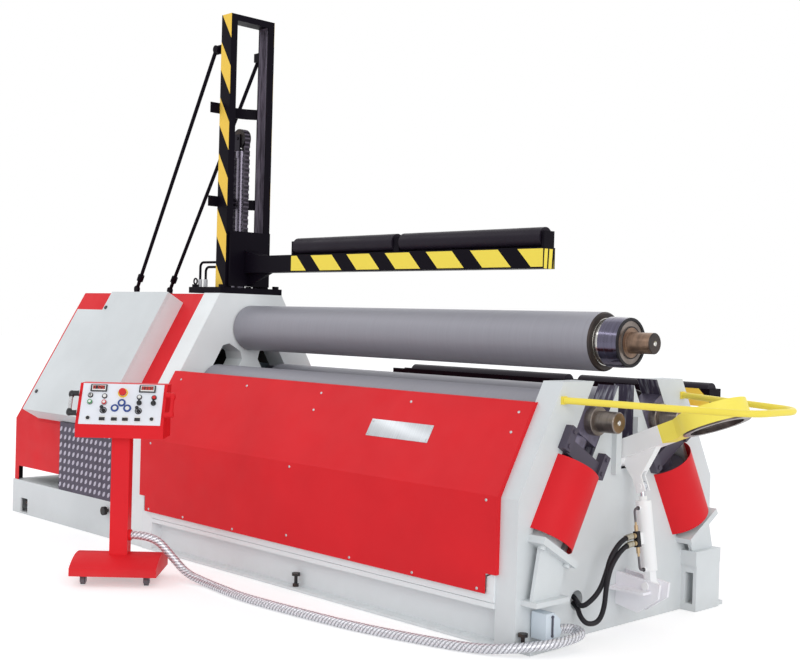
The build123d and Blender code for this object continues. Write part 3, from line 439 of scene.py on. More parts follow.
def heads_on_points():
    tree = bpy.data.node_groups.new("heads_on_points", "GeometryNodeTree")
    sockets = (("Places", "Geometry"), ("Head", "Object"), ("Size", "Float"), ("Finish", "Material"))
    for label, kind in sockets:
        tree.interface.new_socket(name=label, in_out="INPUT", socket_type="NodeSocket" + kind)
    tree.interface.new_socket(name="Heads", in_out="OUTPUT", socket_type="NodeSocketGeometry")
    given = put(tree, "NodeGroupInput").outputs
    turn = put(tree, "GeometryNodeInputNamedAttribute", {"Name": "turn"}, data_type="FLOAT_VECTOR")
    facing = put(tree, "FunctionNodeEulerToRotation", {"Euler": turn.outputs["Attribute"]}).outputs[0]
    pattern = put(tree, "GeometryNodeObjectInfo", {"Object": given["Head"], "As Instance": True})
    head = pattern.outputs["Geometry"]
    laid = {"Points": given["Places"], "Instance": head, "Rotation": facing, "Scale": given["Size"]}
    copies = put(tree, "GeometryNodeInstanceOnPoints", laid).outputs[0]
    real = put(tree, "GeometryNodeRealizeInstances", {"Geometry": copies}).outputs[0]
    painted = put(tree, "GeometryNodeSetMaterial", {"Geometry": real, "Material": given["Finish"]})
    put(tree, "NodeGroupOutput", {"Heads": painted.outputs[0]})
    return tree


heads_tree = heads_on_points()


def evaluated(piece):
    bpy.context.view_layer.update()
    settled = piece.evaluated_get(bpy.context.evaluated_depsgraph_get())
    return bpy.data.meshes.new_from_object(settled)


def set_out(name, spots, head, size, finish, body):
    mesh = bpy.data.meshes.new(name)
    mesh.from_pydata([tuple(place) for place, turn in spots], [], [])
    turns = mesh.attributes.new("turn", "FLOAT_VECTOR", "POINT")
    turns.data.foreach_set("vector", [angle for place, turn in spots for angle in turn])
    piece = added(name, mesh)
    work = piece.modifiers.new("heads", "NODES")
    work.node_group = heads_tree
    keys = {item.name: item.identifier for item in heads_tree.interface.items_tree}
    for label, value in (("Head", head), ("Size", size), ("Finish", finish)):
        work[keys[label]] = value
    real = evaluated(piece)
    piece.modifiers.remove(work)
    piece.data = real
    fixed_to(piece, body)
    return piece


def facing(direction, spin=0.0):
    turn = Vector(direction).to_track_quat("Z", "Y") @ Quaternion((0.0, 0.0, 1.0), spin)
    return tuple(turn.to_euler())


screw_shell = bmesh.new()
dome = [(0.0, 0.0016), (0.0016, 0.0016), (0.0020, 0.0034), (0.0052, 0.0030)]
dome += [(0.0070, 0.0014), (0.0074, 0.0), (0.0095, -0.0002), (0.0095, -0.0012)]
lathe(screw_shell, dome, Matrix.Identity(4), 12)
screw_head = settle("screw_head", screw_shell, [], None, None)
screw_steel = metal("zinc_plated_steel", (190, 190, 192), 0.32, (30.0, 30.0, 30.0), 0.9)

slope_angle = math.radians(30)
cover_side = 0.856
cover_shoulder = 0.733
cover_thickness = 0.025
slope_up = Vector((0.0, math.sin(slope_angle), math.cos(slope_angle)))
slope_out = Vector((0.0, -math.cos(slope_angle), math.sin(slope_angle)))
slope_corner = Vector((0.0, -cover_side, cover_shoulder))
slope_foot = slope_corner + slope_out * cover_thickness
front_face = -(cover_side + cover_thickness)
front_out = Vector((0.0, -1.0, 0.0))
slope_screws = [(x, 0.451) for x in (-0.60, 0.137, 0.865, 1.621, 2.388)]
slope_screws += [(x, 0.338) for x in (-0.60, 0.865, 2.388)]
front_screws = [(x, 0.715) for x in (-0.60, 0.865, 2.388)]
front_screws += [(x, 0.275) for x in (-0.605, -0.204, 0.328, 1.402, 1.889, 2.342)]
front_screws += [(0.852, 0.315)]
screw_spots = [(slope_foot + slope_up * up + Vector((x, 0.0, 0.0)), slope_out) for x, up in slope_screws]
screw_spots += [(Vector((x, front_face, z)), front_out) for x, z in front_screws]
to_the_rear = Matrix.Diagonal((1.0, -1.0, 1.0))
screw_spots += [(to_the_rear @ place, to_the_rear @ out) for place, out in screw_spots]
cover_screws = [(place, facing(out)) for place, out in screw_spots]
set_out("cover_screws", cover_screws, screw_head, 1.1, screw_steel, "machine")

plate_alloy = metal("bare_aluminium", (196, 200, 204), 0.36, (60.0, 1.0, 1.0), 0.85)
plate_ends = (1.385, 1.862)
plate_edges = (0.222, 0.326)
plate_top = 0.0022
plate_margin = 0.013
slope_frame = Matrix((Vector((1.0, 0.0, 0.0)), slope_up, slope_out)).transposed().to_4x4()
slope_frame.translation = slope_foot
plate_shell = bmesh.new()
plate_low = (plate_ends[0], plate_edges[0], -0.0006)
plate_high = (plate_ends[1], plate_edges[1], plate_top)
slab(plate_shell, plate_low, plate_high, slope_frame, 0, 0.0012)
settle("bare_plate", plate_shell, [plate_alloy], "machine", "bright_steel")
plate_rivets = []
for x in (plate_ends[0] + plate_margin, plate_ends[1] - plate_margin):
    for up in (plate_edges[0] + plate_margin, plate_edges[1] - plate_margin):
        plate_rivets.append((slope_frame @ Vector((x, up, plate_top)), facing(slope_out)))
set_out("bare_plate_rivets", plate_rivets, screw_head, 0.8, screw_steel, "machine")

# Drive housing: red sheet over the gearmotors and the power pack, its inner faces darkened as painted
# shade. The electrical cabinet stands on its front slope, light grey, with a flush door on plain
# quarter-turn locks.
dress(light_grey, "electrical_cabinet")
housing_roof = 1.730
housing_end = -2.564
sheet_skin = 0.003


def folded(tree, spot):
    return put(tree, "ShaderNodeVectorMath", {0: spot}, operation="ABSOLUTE").outputs[0]


def run_along(tree, spot, direction):
    both = {0: spot, 1: direction}
    return put(tree, "ShaderNodeVectorMath", both, operation="DOT_PRODUCT").outputs["Value"]


# The inner faces of the housing sheet are painted near black: painted shade inside the housing.
def painted_shade_inside(tree, spot, hue):
    width = calc(tree, "ABSOLUTE", axis_of(tree, spot, "Y"))
    upright = calc(tree, "SUBTRACT", width, cover_side)
    lean = (0.0, math.cos(slope_angle), math.sin(slope_angle))
    foot = cover_side * lean[1] + cover_shoulder * lean[2]
    sloping = calc(tree, "SUBTRACT", run_along(tree, folded(tree, spot), lean), foot)
    roof = calc(tree, "SUBTRACT", axis_of(tree, spot, "Z"), housing_roof)
    end = calc(tree, "SUBTRACT", housing_end, axis_of(tree, spot, "X"))
    nearest = upright
    for depth in (sloping, roof, end):
        nearest = calc(tree, "MAXIMUM", nearest, depth)
    return tinted(tree, calc(tree, "LESS_THAN", nearest, -sheet_skin), hue, (30, 26, 30))


housing_red = sprayed("housing_red_paint", red_paint, painted_shade_inside, shine=red_shine)
dress(housing_red, "housing_front", "housing_rear")
door_rise = 0.1503


def locks(tree, spot, hue):
    door_face = slope_out.dot(slope_corner) + door_rise
    proud = calc(tree, "GREATER_THAN", run_along(tree, spot, tuple(slope_out)), door_face)
    return tinted(tree, proud, hue, (64, 64, 68))


dress(sprayed("door_paint", (218, 222, 224), locks), "cabinet_door")
tank_blue = sprayed("power_pack_paint", (88, 96, 104), rough=0.45)
dress(tank_blue, "power_pack", "top_gearmotor", "front_gearmotor", "rear_gearmotor")

# Treadplate guard: rolled floor plate with raised lozenges that all lean the same way, in front of the
# power pack. The tops of the lozenges are rubbed bright, and the ground between them is dark.
tread_ground = metal("treadplate_ground", (80, 72, 90), 0.50, (14.0, 14.0, 14.0), 0.35, (56, 49, 64), 0.6)
tread_bright = metal("treadplate_lozenges", (190, 184, 200), 0.42, (30.0, 30.0, 30.0), 0.35)
dress(tread_ground, "treadplate_guard")
half_rim = [(0.0245, 0.0), (0.0150, 0.0096), (0.0, 0.0142), (-0.0150, 0.0096)]
rim = half_rim + [(-x, -y) for x, y in half_rim]
lozenge_foot = -0.0002
lozenge_top = 0.0026
lozenge_shell = bmesh.new()
low_rim = [(x, y, lozenge_foot) for x, y in rim]
top_rim = [(x * 0.80, y * 0.56, lozenge_top) for x, y in rim]
skin_between(lozenge_shell, low_rim, top_rim)
lozenge = settle("lozenge", lozenge_shell, [], None, None)
first_lozenge = Vector((-1.832, -0.866, 0.298))
tread_columns = 14
tread_rows = 8
column_step = 0.0625
row_step = 0.0587
lozenge_turn = facing(front_out, math.radians(48))
tread_spots = []
for column in range(tread_columns):
    for row in range(tread_rows):
        place = first_lozenge + Vector((column * column_step, 0.0, row * row_step))
        tread_spots.append((place, lozenge_turn))
set_out("treadplate_lozenges", tread_spots, lozenge, 1.0, tread_bright, "machine")

# Rolls: forged steel, turned and ground, with chamfered ends and centre holes in the shafts. The top
# one ends in its drop-end bearing, whose race is darkened as a painted reflection, and a rough turned stub.
roll_steel = metal("ground_roll_steel", (154, 153, 162), 0.50, (40.0, 0.4, 0.4), 0.12, grain=0.03)
roll_face = metal("dark_roll_end", (50, 44, 44), 0.45, (10.0, 10.0, 10.0), 0.5, (84, 66, 56), 0.5)
polished = metal("polished_steel", (206, 204, 200), 0.20, (40.0, 2.0, 2.0), 1.0)
shaft_brown = metal("oiled_shaft_steel", (142, 116, 98), 0.36, (30.0, 2.0, 2.0), 0.7, (70, 56, 50), 0.7)
seal_black = sprayed("seal_rubber", (34, 32, 36), rough=0.5)
# The race steel is darkened: a painted reflection of dark surroundings, under the strip light's highlight.
race_painted_dark_reflection = metal("dark_ground_race", (98, 95, 112), 0.16, (40.0, 1.0, 1.0), 1.0)
shaft_grey = metal("turned_shaft_steel", (140, 130, 124), 0.32, (30.0, 2.0, 2.0), 0.8, (84, 74, 70), 0.6)
roll_kit = [roll_steel, roll_face, polished, shaft_brown, seal_black, race_painted_dark_reflection, shaft_grey]
on_barrel, on_end, on_polish, on_brown, on_seal, on_race, on_grey = range(len(roll_kit))
roll_steps = 128
top_roll_height = 1.494
lower_roll_height = 1.093
lower_roll_offset = 0.285


def axle(y, z):
    return Matrix.Translation((0.0, y, z)) @ Matrix.Rotation(math.radians(90), 4, "Y")


top_shell = bmesh.new()
top_line = [(0.0, -1.100), (0.070, -1.100), (0.070, -0.891), (0.100, -0.891), (0.100, -0.693)]
top_line += [(0.157, -0.693), (0.160, -0.690), (0.160, 2.424), (0.152, 2.434), (0.128, 2.434)]
top_line += [(0.128, 2.436), (0.125, 2.437), (0.125, 2.4698), (0.0799, 2.4699), (0.0799, 2.596)]
top_line += [(0.058, 2.596), (0.056, 2.600), (0.056, 2.738), (0.051, 2.743), (0.014, 2.743)]
top_line += [(0.009, 2.735), (0.0, 2.720)]
top_marks = [on_brown] * 4 + [on_end] + [on_barrel] * 2 + [on_end] * 3
top_marks += [on_polish] * 3 + [on_brown] * 4 + [on_end] * 2 + [on_polish] * 2
lathe(top_shell, top_line, axle(0.0, top_roll_height), roll_steps, marks=top_marks)
settle("top_roll_turned", top_shell, roll_kit, "top_roll", "roll_steel", "top_roll")

bearing_shell = bmesh.new()
bearing_line = [(0.0803, 2.470), (0.133, 2.470), (0.135, 2.472), (0.135, 2.512), (0.1342, 2.513)]
bearing_line += [(0.1342, 2.516), (0.135, 2.517), (0.135, 2.545), (0.1322, 2.586)]
bearing_line += [(0.1322, 2.588), (0.1316, 2.594), (0.1300, 2.596), (0.116, 2.596), (0.114, 2.590)]
bearing_line += [(0.088, 2.590), (0.086, 2.596), (0.0803, 2.596), (0.0803, 2.470)]
bearing_marks = [on_polish] * 2 + [on_race] * 7 + [on_seal] * 4 + [on_grey] * 2 + [on_seal] * 2
lathe(bearing_shell, bearing_line, axle(0.0, top_roll_height), roll_steps, marks=bearing_marks)
settle("top_roll_bearing_ring", bearing_shell, roll_kit, "top_roll", "bright_steel", "top_roll_bearing")

lower_line = [(0.0, -1.100), (0.050, -1.100), (0.050, -0.899), (0.0745, -0.899), (0.0745, -0.693)]
lower_line += [(0.137, -0.693), (0.140, -0.690), (0.140, 2.426), (0.134, 2.434), (0.0745, 2.434)]
lower_line += [(0.0745, 2.612), (0.072, 2.615), (0.055, 2.615), (0.055, 2.730), (0.050, 2.735)]
lower_line += [(0.013, 2.735), (0.008, 2.728), (0.0, 2.714)]
lower_marks = [on_brown] * 4 + [on_end] + [on_barrel] * 2 + [on_end] * 2
lower_marks += [on_grey] * 5 + [on_brown] + [on_polish] * 2
for side, y in (("front", -lower_roll_offset), ("rear", lower_roll_offset)):
    lower_shell = bmesh.new()
    lathe(lower_shell, lower_line, axle(y, lower_roll_height), roll_steps, marks=lower_marks)
    settle(side + "_roll_turned", lower_shell, roll_kit, side + "_roll", "roll_steel", side + "_roll")

# Slides and lift cylinders: machined bearing blocks in the slots of the side frames, on the rods of
# four hydraulic cylinders. Red sheet guards hide the cylinders, and dark straps hold the blocks. The
# lower ends of the cylinders are painted light grey as painted light in the shade under the guards.
block_steel = metal("machined_block_steel", (112, 106, 126), 0.42, (10.0, 10.0, 10.0), 0.4, (70, 64, 78), 0.6)
strap_paint = sprayed("dark_strap_paint", (84, 78, 92))
dress(block_steel, "front_roll_slide", "rear_roll_slide")
cylinder_run = (0.0, 0.5, -0.866)
cylinder_origin = 0.8040
cylinder_foot = 0.640


def leaning(tree, spot, direction, offset):
    return calc(tree, "ADD", run_along(tree, spot, direction), offset)


# The lower ends of the lift cylinders get a light grey: painted light where shade falls under the guards.
def painted_light_feet(tree, spot, hue):
    below = leaning(tree, folded(tree, spot), cylinder_run, cylinder_origin)
    return tinted(tree, calc(tree, "GREATER_THAN", below, cylinder_foot), hue, (226, 230, 232))


dress(sprayed("cylinder_paint", (104, 98, 112), painted_light_feet, rough=0.45), "lift_cylinders")
dress(red, "cylinder_guards")
dress(strap_paint, "cylinder_straps")

# Drop-end yoke: a thick plate that swings down from its hinge, yellow on the neck and ring, white at
# the root and on the fork of the tilt cylinder. A bronze bush in the ring takes the bearing.
yoke_hinge = (2.545, 0.0, 0.885)
neck_run = (0.9272, 0.0, 0.3746)
neck_up = (-0.3746, 0.0, 0.9272)
neck_start = 0.318
neck_underside = -0.0150
white_paint = (252, 252, 254)
hydraulic_gloss = 0.42


def measured_from(tree, spot, origin):
    return put(tree, "ShaderNodeVectorMath", {0: spot, 1: origin}, operation="SUBTRACT").outputs[0]


def yoke_colours(tree, spot, hue):
    from_hinge = measured_from(tree, spot, yoke_hinge)
    neck = calc(tree, "GREATER_THAN", run_along(tree, from_hinge, neck_run), neck_start)
    plate = calc(tree, "GREATER_THAN", run_along(tree, from_hinge, neck_up), neck_underside)
    return tinted(tree, where_all(tree, neck, plate), hue, (255, 238, 104))


dress(sprayed("yoke_paint", white_paint, yoke_colours, rough=hydraulic_gloss), "drop_end_yoke")
dress(metal("greased_bronze", (104, 94, 92), 0.30, (6.0, 6.0, 6.0), 0.8, (58, 52, 60), 0.7), "yoke_bush")

# Tilt cylinder: a white hydraulic cylinder with a chromed rod. The lock valve on its side is a black
# block with brass fittings and bent brass pipes that end in dark elbows.
dress(sprayed("white_cylinder_paint", white_paint, rough=hydraulic_gloss), "tilt_cylinder")
dress(metal("chromed_rod", (206, 208, 214), 0.14, (2.0, 2.0, 30.0), 1.0), "tilt_rod")
tilt_pivot = (2.759, 0.0, 0.245)
barrel_run = (-0.1424, 0.0, 0.9898)
valve_middle = 0.245
block_half_height = 0.0405
pipe_half_height = 0.088
fitting_root = -0.0985


def valve_metals(tree, spot, hue):
    hue = tinted(tree, short_of(tree, spot, "Y", fitting_root), hue, (182, 160, 122))
    along = run_along(tree, measured_from(tree, spot, tilt_pivot), barrel_run)
    height = calc(tree, "ABSOLUTE", calc(tree, "SUBTRACT", along, valve_middle))
    hue = tinted(tree, calc(tree, "GREATER_THAN", height, block_half_height), hue, (190, 166, 132))
    return tinted(tree, calc(tree, "GREATER_THAN", height, pipe_half_height), hue, (104, 100, 104))


valve_finish = sprayed("valve_metals", (44, 42, 46), valve_metals, rough=0.36)
valve_finish.node_tree.nodes["Principled BSDF"].inputs["Metallic"].default_value = 0.7
dress(valve_finish, "lock_valve")


# Hydraulic hoses: two rubber hoses with crimped ferrules, from the lock valve down and back through the
# hole in the drop-end frame.
def smooth_line(name, route):
    curve = bpy.data.curves.new(name, "CURVE")
    curve.dimensions = "3D"
    curve.resolution_u = 24
    spline = curve.splines.new("NURBS")
    spline.points.add(len(route) - 1)
    for point, place in zip(spline.points, route):
        point.co = (*place, 1.0)
    spline.order_u = 3
    spline.use_endpoint_u = True
    holder = added(name, curve)
    line = evaluated(holder)
    points = [vertex.co.copy() for vertex in line.vertices]
    bpy.data.objects.remove(holder)
    bpy.data.curves.remove(curve)
    bpy.data.meshes.remove(line)
    return points


def even_steps(points, step):
    spans = [(after - before).length for before, after in zip(points, points[1:])]
    count = max(2, round(sum(spans) / step))
    pace = sum(spans) / count
    laid = [points[0].copy()]
    walked = 0.0
    for before, after, span in zip(points, points[1:], spans):
        while len(laid) < count and walked + span >= pace * len(laid):
            laid.append(before.lerp(after, (pace * len(laid) - walked) / span))
        walked += span
    laid.append(points[-1].copy())
    return laid, pace


def sleeve(shell, points, radius_at, sides):
    ahead = (points[1] - points[0]).normalized()
    side = ahead.orthogonal().normalized()
    rings = []
    for index, point in enumerate(points):
        before = points[max(0, index - 1)]
        after = points[min(len(points) - 1, index + 1)]
        fresh = (after - before).normalized()
        side = (ahead.rotation_difference(fresh) @ side).normalized()
        ahead = fresh
        other = ahead.cross(side)
        ring = []
        for step in range(sides):
            turn = 2 * math.pi * step / sides
            outward = side * math.cos(turn) + other * math.sin(turn)
            ring.append(shell.verts.new(point + outward * radius_at(index, turn)))
        rings.append(ring)
    for near, far in zip(rings, rings[1:]):
        for step in range(sides):
            after = (step + 1) % sides
            shell.faces.new((near[step], near[after], far[after], far[step]))
    shell.faces.new(rings[0][::-1])
    shell.faces.new(rings[-1])


hose_radius = 0.013
hose_step = 0.006
ferrule_rings = 9
ferrule_rim = 0.0165
ferrule_waist = 0.0152
crimp_height = 0.0012


def hose_wall(index, turn):
    return hose_radius


def crimped(index, turn):
    if index in (0, ferrule_rings - 1):
        return ferrule_rim
    return ferrule_waist + crimp_height * (index % 2)


hose_rubber = sprayed("hose_rubber", (34, 32, 37), rough=0.52)
ferrule_steel = metal("crimped_ferrule_steel", (176, 170, 154), 0.32, (20.0, 20.0, 20.0), 0.9)
upper_route = [(2.7214, -0.130, 0.5063), (2.7214, -0.200, 0.5063), (2.708, -0.284, 0.425)]
upper_route += [(2.697, -0.308, 0.330), (2.686, -0.345, 0.245), (2.664, -0.410, 0.188)]
upper_route += [(2.630, -0.425, 0.172), (2.590, -0.400, 0.190), (2.550, -0.380, 0.203)]
lower_route = [(2.7268, -0.130, 0.4687), (2.7268, -0.195, 0.4687), (2.722, -0.298, 0.385)]
lower_route += [(2.718, -0.332, 0.280), (2.717, -0.340, 0.170), (2.706, -0.372, 0.098)]
lower_route += [(2.672, -0.424, 0.090), (2.634, -0.432, 0.128), (2.600, -0.402, 0.156)]
lower_route += [(2.553, -0.380, 0.170)]
for name, hose_length, route in (("upper", 0.592, upper_route), ("lower", 0.697, lower_route)):
    path = even_steps(smooth_line("hose_line", route), hose_step)[0]
    hose_shell = bmesh.new()
    sleeve(hose_shell, path, hose_wall, 20)
    hose = settle("hydraulic_hose_" + name, hose_shell, [hose_rubber], None, "hose_rubber", "hose_" + name)
    ferrule_shell = bmesh.new()
    sleeve(ferrule_shell, path[:ferrule_rings], crimped, 24)
    ferrule = settle("hose_ferrule_" + name, ferrule_shell, [ferrule_steel], "tilt_cylinder", "bright_steel")
    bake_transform(hose)
    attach(hose, "machine")

# Hoop guard: a bent steel tube that stands round the open yoke, sprayed yellow. It is welded to the
# drop-end frame on two small feet.
yellow = sprayed("yellow_paint", (255, 232, 92), rough=0.40)
dress(yellow, "hoop_guard")

# Mast: two channels on a plate over the drive frame, black, with yellow and black warning stripes on the
# outer faces, held back by two stay rods. A cylinder between them lifts a sheave on its rod.
violet_black = (18, 14, 23)
black_look = {"rough": 0.42, "shine": 0.05}
mast_yellow = (247, 206, 90)
mast_plate_top = 1.782
mast_stripe_lean = (1.6, 0.0, 1.0)
mast_stripe_offset = -2.346
mast_stripe_pitch = 0.40
mast_stripe_share = 0.5
flange_width = (-0.8765, -0.7595)
flange_face = 0.1930
guide_width = (-0.8675, -0.7695)
guide_faces = (0.1390, 0.1850)
fitting_front = -0.99
fitting_width = (-0.215, -0.160)
fitting_heights = (1.7815, 1.8385)
clevis_foot = 2.782


def banded(tree, field, period, share):
    part = calc(tree, "FRACT", calc(tree, "MULTIPLY", field, 1.0 / period))
    return calc(tree, "LESS_THAN", part, share)


def mast_stripes(tree, spot, hue):
    rise = leaning(tree, spot, mast_stripe_lean, mast_stripe_offset)
    lines = banded(tree, rise, mast_stripe_pitch, mast_stripe_share)
    upright = beyond(tree, spot, "Z", mast_plate_top)
    flange = where_all(
        tree, outer_than(tree, spot, "Y", flange_face), between(tree, spot, "X", *flange_width)
    )
    hue = tinted(tree, where_all(tree, lines, flange, upright), hue, mast_yellow)
    web = where_all(
        tree, outer_than(tree, spot, "Y", guide_faces[0]), inner_than(tree, spot, "Y", guide_faces[1])
    )
    # Pale vertical streaks on the inner guide faces of the channels are painted highlights.
    highlight_streaks = noise(tree, stretched(tree, spot, (40.0, 40.0, 3.0)), 2.0, 4.0)
    highlight_share = remap(tree, highlight_streaks, (0.35, 0.60), (0.35, 0.95))
    guide = where_all(tree, web, between(tree, spot, "X", *guide_width), upright, highlight_share)
    hue = tinted(tree, guide, hue, (138, 130, 144))
    fitting = where_all(
        tree,
        short_of(tree, spot, "X", fitting_front),
        between(tree, spot, "Y", *fitting_width),
        between(tree, spot, "Z", *fitting_heights),
    )
    return tinted(tree, fitting, hue, (206, 206, 210))


def rod_clevis(tree, spot, hue):
    return tinted(tree, beyond(tree, spot, "Z", clevis_foot), hue, (40, 36, 44))


dress(sprayed("mast_striped_paint", violet_black, mast_stripes, **black_look), "mast_frame")
dress(sprayed("mast_black_paint", violet_black, **black_look), "stay_rods")
dress(metal("dull_cylinder_steel", (128, 122, 136), 0.28, (2.0, 2.0, 30.0), 0.85), "mast_cylinder")
rod_chrome = metal("mast_rod_chrome", (190, 192, 198), 0.18, (2.0, 2.0, 30.0), 0.9, marking=rod_clevis)
dress(rod_chrome, "mast_rod")
dress(black_steel, "chain_sheave")

# Lift chain: a leaf chain from an anchor on the mast plate over the sheave to the carriage. Its plates
# interleave on riveted pins, and their waists are darkened as painted shade.
half_link = [(0.0212, 0.0), (0.0192, 0.0050), (0.0150, 0.0065)]
half_link += [(0.0, 0.0038), (-0.0150, 0.0065), (-0.0192, 0.0050)]
link_rim = half_link + [(-x, -z) for x, z in half_link]
link_plate = 0.0046
link_shell = bmesh.new()
for middle in (-0.0216, -0.0120, -0.0024, 0.0072, 0.0168):
    outline = [(x, middle - link_plate / 2, z) for x, z in link_rim]
    drawn_bar(link_shell, outline, (0.0, link_plate, 0.0))
pin_place = Matrix.Translation((0.0155, 0.0, 0.0)) @ Matrix.Rotation(math.radians(-90), 4, "X")
pin_line = [(0.0, -0.0239), (0.004, -0.0239), (0.004, 0.0239), (0.0, 0.0239)]
lathe(link_shell, pin_line, pin_place, 8)
link = settle("chain_link", link_shell, [], None, None)
waist_half_length = 0.004
waist = link.data.attributes.new("waist", "FLOAT", "POINT")
at_waist = [float(abs(corner.co.x) < waist_half_length) for corner in link.data.vertices]
waist.data.foreach_set("value", at_waist)


# The narrow waists of the plates are painted near black: painted shade between the pins.
def painted_shade_waists(tree, spot, hue):
    depth = put(tree, "ShaderNodeAttribute", attribute_name="waist").outputs["Fac"]
    return tinted(tree, depth, hue, (22, 18, 28))


chain_look = {"stain": (50, 45, 54), "stain_share": 0.4, "marking": painted_shade_waists}
chain_steel = metal("oiled_chain_steel", (96, 88, 102), 0.34, (30.0, 30.0, 30.0), 0.5, **chain_look)
rear_run_x = -0.930
rear_run_foot = 1.8093
rear_pitch = 0.0307
rear_count = 35
front_run_x = -0.800
front_run_top = 2.8544
front_pitch = 0.0311
front_count = 22
sheave_x = -0.865
sheave_height = 2.870
chain_radius = 0.0634
arc_count = 7


def link_spot(x, z, pitch_angle, number):
    turn = Matrix.Rotation(pitch_angle, 4, "Y") @ Matrix.Rotation(math.pi * (number % 2), 4, "X")
    return (x, 0.0, z), tuple(turn.to_euler())


rear_links = []
for number in range(rear_count):
    z = rear_run_foot + rear_pitch * number
    rear_links.append(link_spot(rear_run_x, z, math.radians(-90), number))
front_links = []
for number in range(front_count):
    z = front_run_top - front_pitch * number
    front_links.append(link_spot(front_run_x, z, math.radians(90), number))
arc_links = []
for number in range(arc_count):
    around = math.radians(180 - 180 / arc_count * (number + 0.5))
    x = sheave_x + chain_radius * math.cos(around)
    z = sheave_height + chain_radius * math.sin(around)
    arc_links.append(link_spot(x, z, math.radians(90) - around, number + 1))
chain_rear = set_out("lift_chain_rear_run", rear_links, link, 1.0, chain_steel, None)
chain_front = set_out("lift_chain_front_run", front_links, link, 1.0, chain_steel, None)
chain_arc = set_out("lift_chain_over_sheave", arc_links, link, 1.0, chain_steel, "mast_rod")
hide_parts("lift_chain")
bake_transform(chain_rear)
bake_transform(chain_front)

# Overhead arm: a square tube welded to a carriage that rides in the mast, black with yellow stripes on
# its sides and end. Two black rollers on top carry the rolled shell.
stripe_yellow = (255, 232, 94)
arm_stripe_lean = (1.0, 0.0, 0.99)
arm_stripe_offset = -1.996
arm_stripe_pitch = 0.365
arm_stripe_share = 0.597
arm_heights = (1.8990, 2.0010)
arm_side = 0.0532
arm_start = -0.192
arm_end = 2.0255
end_stripe_lean = (0.0, 1.0, -0.06)
end_stripe_offset = 0.1587
end_stripe_pitch = 0.042
end_stripe_share = 0.70
end_stripe_reach = 0.042


def arm_stripes(tree, spot, hue):
    run = leaning(tree, spot, arm_stripe_lean, arm_stripe_offset)
    side = where_all(
        tree,
        banded(tree, run, arm_stripe_pitch, arm_stripe_share),
        between(tree, spot, "Z", *arm_heights),
        outer_than(tree, spot, "Y", arm_side),
        beyond(tree, spot, "X", arm_start),
    )
    hue = tinted(tree, side, hue, stripe_yellow)
    width = leaning(tree, spot, end_stripe_lean, end_stripe_offset)
    end = where_all(
        tree,
        banded(tree, width, end_stripe_pitch, end_stripe_share),
        inner_than(tree, spot, "Y", end_stripe_reach),
        short_of(tree, spot, "Z", arm_heights[1]),
        beyond(tree, spot, "X", arm_end),
    )
    return tinted(tree, end, hue, stripe_yellow)


dress(sprayed("arm_striped_paint", violet_black, arm_stripes, **black_look), "carriage_arm")
roller_black = sprayed("roller_black_paint", (34, 28, 39), rough=0.42, shine=0.14)
dress(roller_black, "arm_roller_inner", "arm_roller_outer")

# Rear support: a channel with two free rollers on a pair of lift columns behind the machine, black, with
# yellow stripes at the drop end. The columns are light grey and stand on feet on the floor.
beam_middle = (0.0, 1.0, 0.0)
beam_stripe_lean = (1.0, 0.0, 1.07)
beam_stripe_offset = -3.5233
beam_stripe_pitch = 0.366
beam_stripe_share = 0.58
beam_side = 0.0612
beam_foot = 1.12
beam_stripe_start = 2.25


def beam_stripes(tree, spot, hue):
    run = leaning(tree, spot, beam_stripe_lean, beam_stripe_offset)
    face = where_all(
        tree,
        banded(tree, run, beam_stripe_pitch, beam_stripe_share),
        outer_than(tree, measured_from(tree, spot, beam_middle), "Y", beam_side),
        beyond(tree, spot, "Z", beam_foot),
        beyond(tree, spot, "X", beam_stripe_start),
    )
    return tinted(tree, face, hue, stripe_yellow)


dress(sprayed("beam_striped_paint", violet_black, beam_stripes, **black_look), "support_beam")
dress(roller_black, "support_roller_inner", "support_roller_outer")
dress(light_grey, "support_columns")

# Console: a red sheet-steel stand on four casters and a sloping desk with a grey panel. The left grab
# handle is a steel bar with black ends, the right one is red, and both stand on stubs on its sides.
caster_top = 0.0595
console_foot = Vector((0.0756, -1.5052, 0.0))
console_yaw = math.radians(47)
desk_run = 0.120
desk_rise = 0.235


def caster_steel(tree, spot, hue):
    return tinted(tree, short_of(tree, spot, "Z", caster_top), hue, (150, 150, 158))


stand_red = sprayed("stand_red_paint", (224, 40, 48), caster_steel, shine=red_shine)
dress(stand_red, "console_stand")
dress(red, "console_box")
dress(sprayed("caster_rubber", (104, 102, 110), rough=0.6), "console_front_wheels", "console_rear_wheels")
dress(sprayed("panel_plate", (234, 237, 244), rough=0.40), "console_panel")
console_place = Matrix.Translation(console_foot) @ Matrix.Rotation(console_yaw, 4, "Z")
desk_slope = Matrix.Rotation(math.atan2(desk_rise, desk_run), 4, "X")
desk_place = Matrix.Translation((0.0, -0.110, 0.925)) @ desk_slope
desk_middle = Matrix.Translation((0.0, math.hypot(desk_rise, desk_run) / 2, 0.0))
panel_place = console_place @ desk_place @ desk_middle


def plastic(name, rgb):
    return sprayed(name, rgb, rough=0.34, shine=0.4)


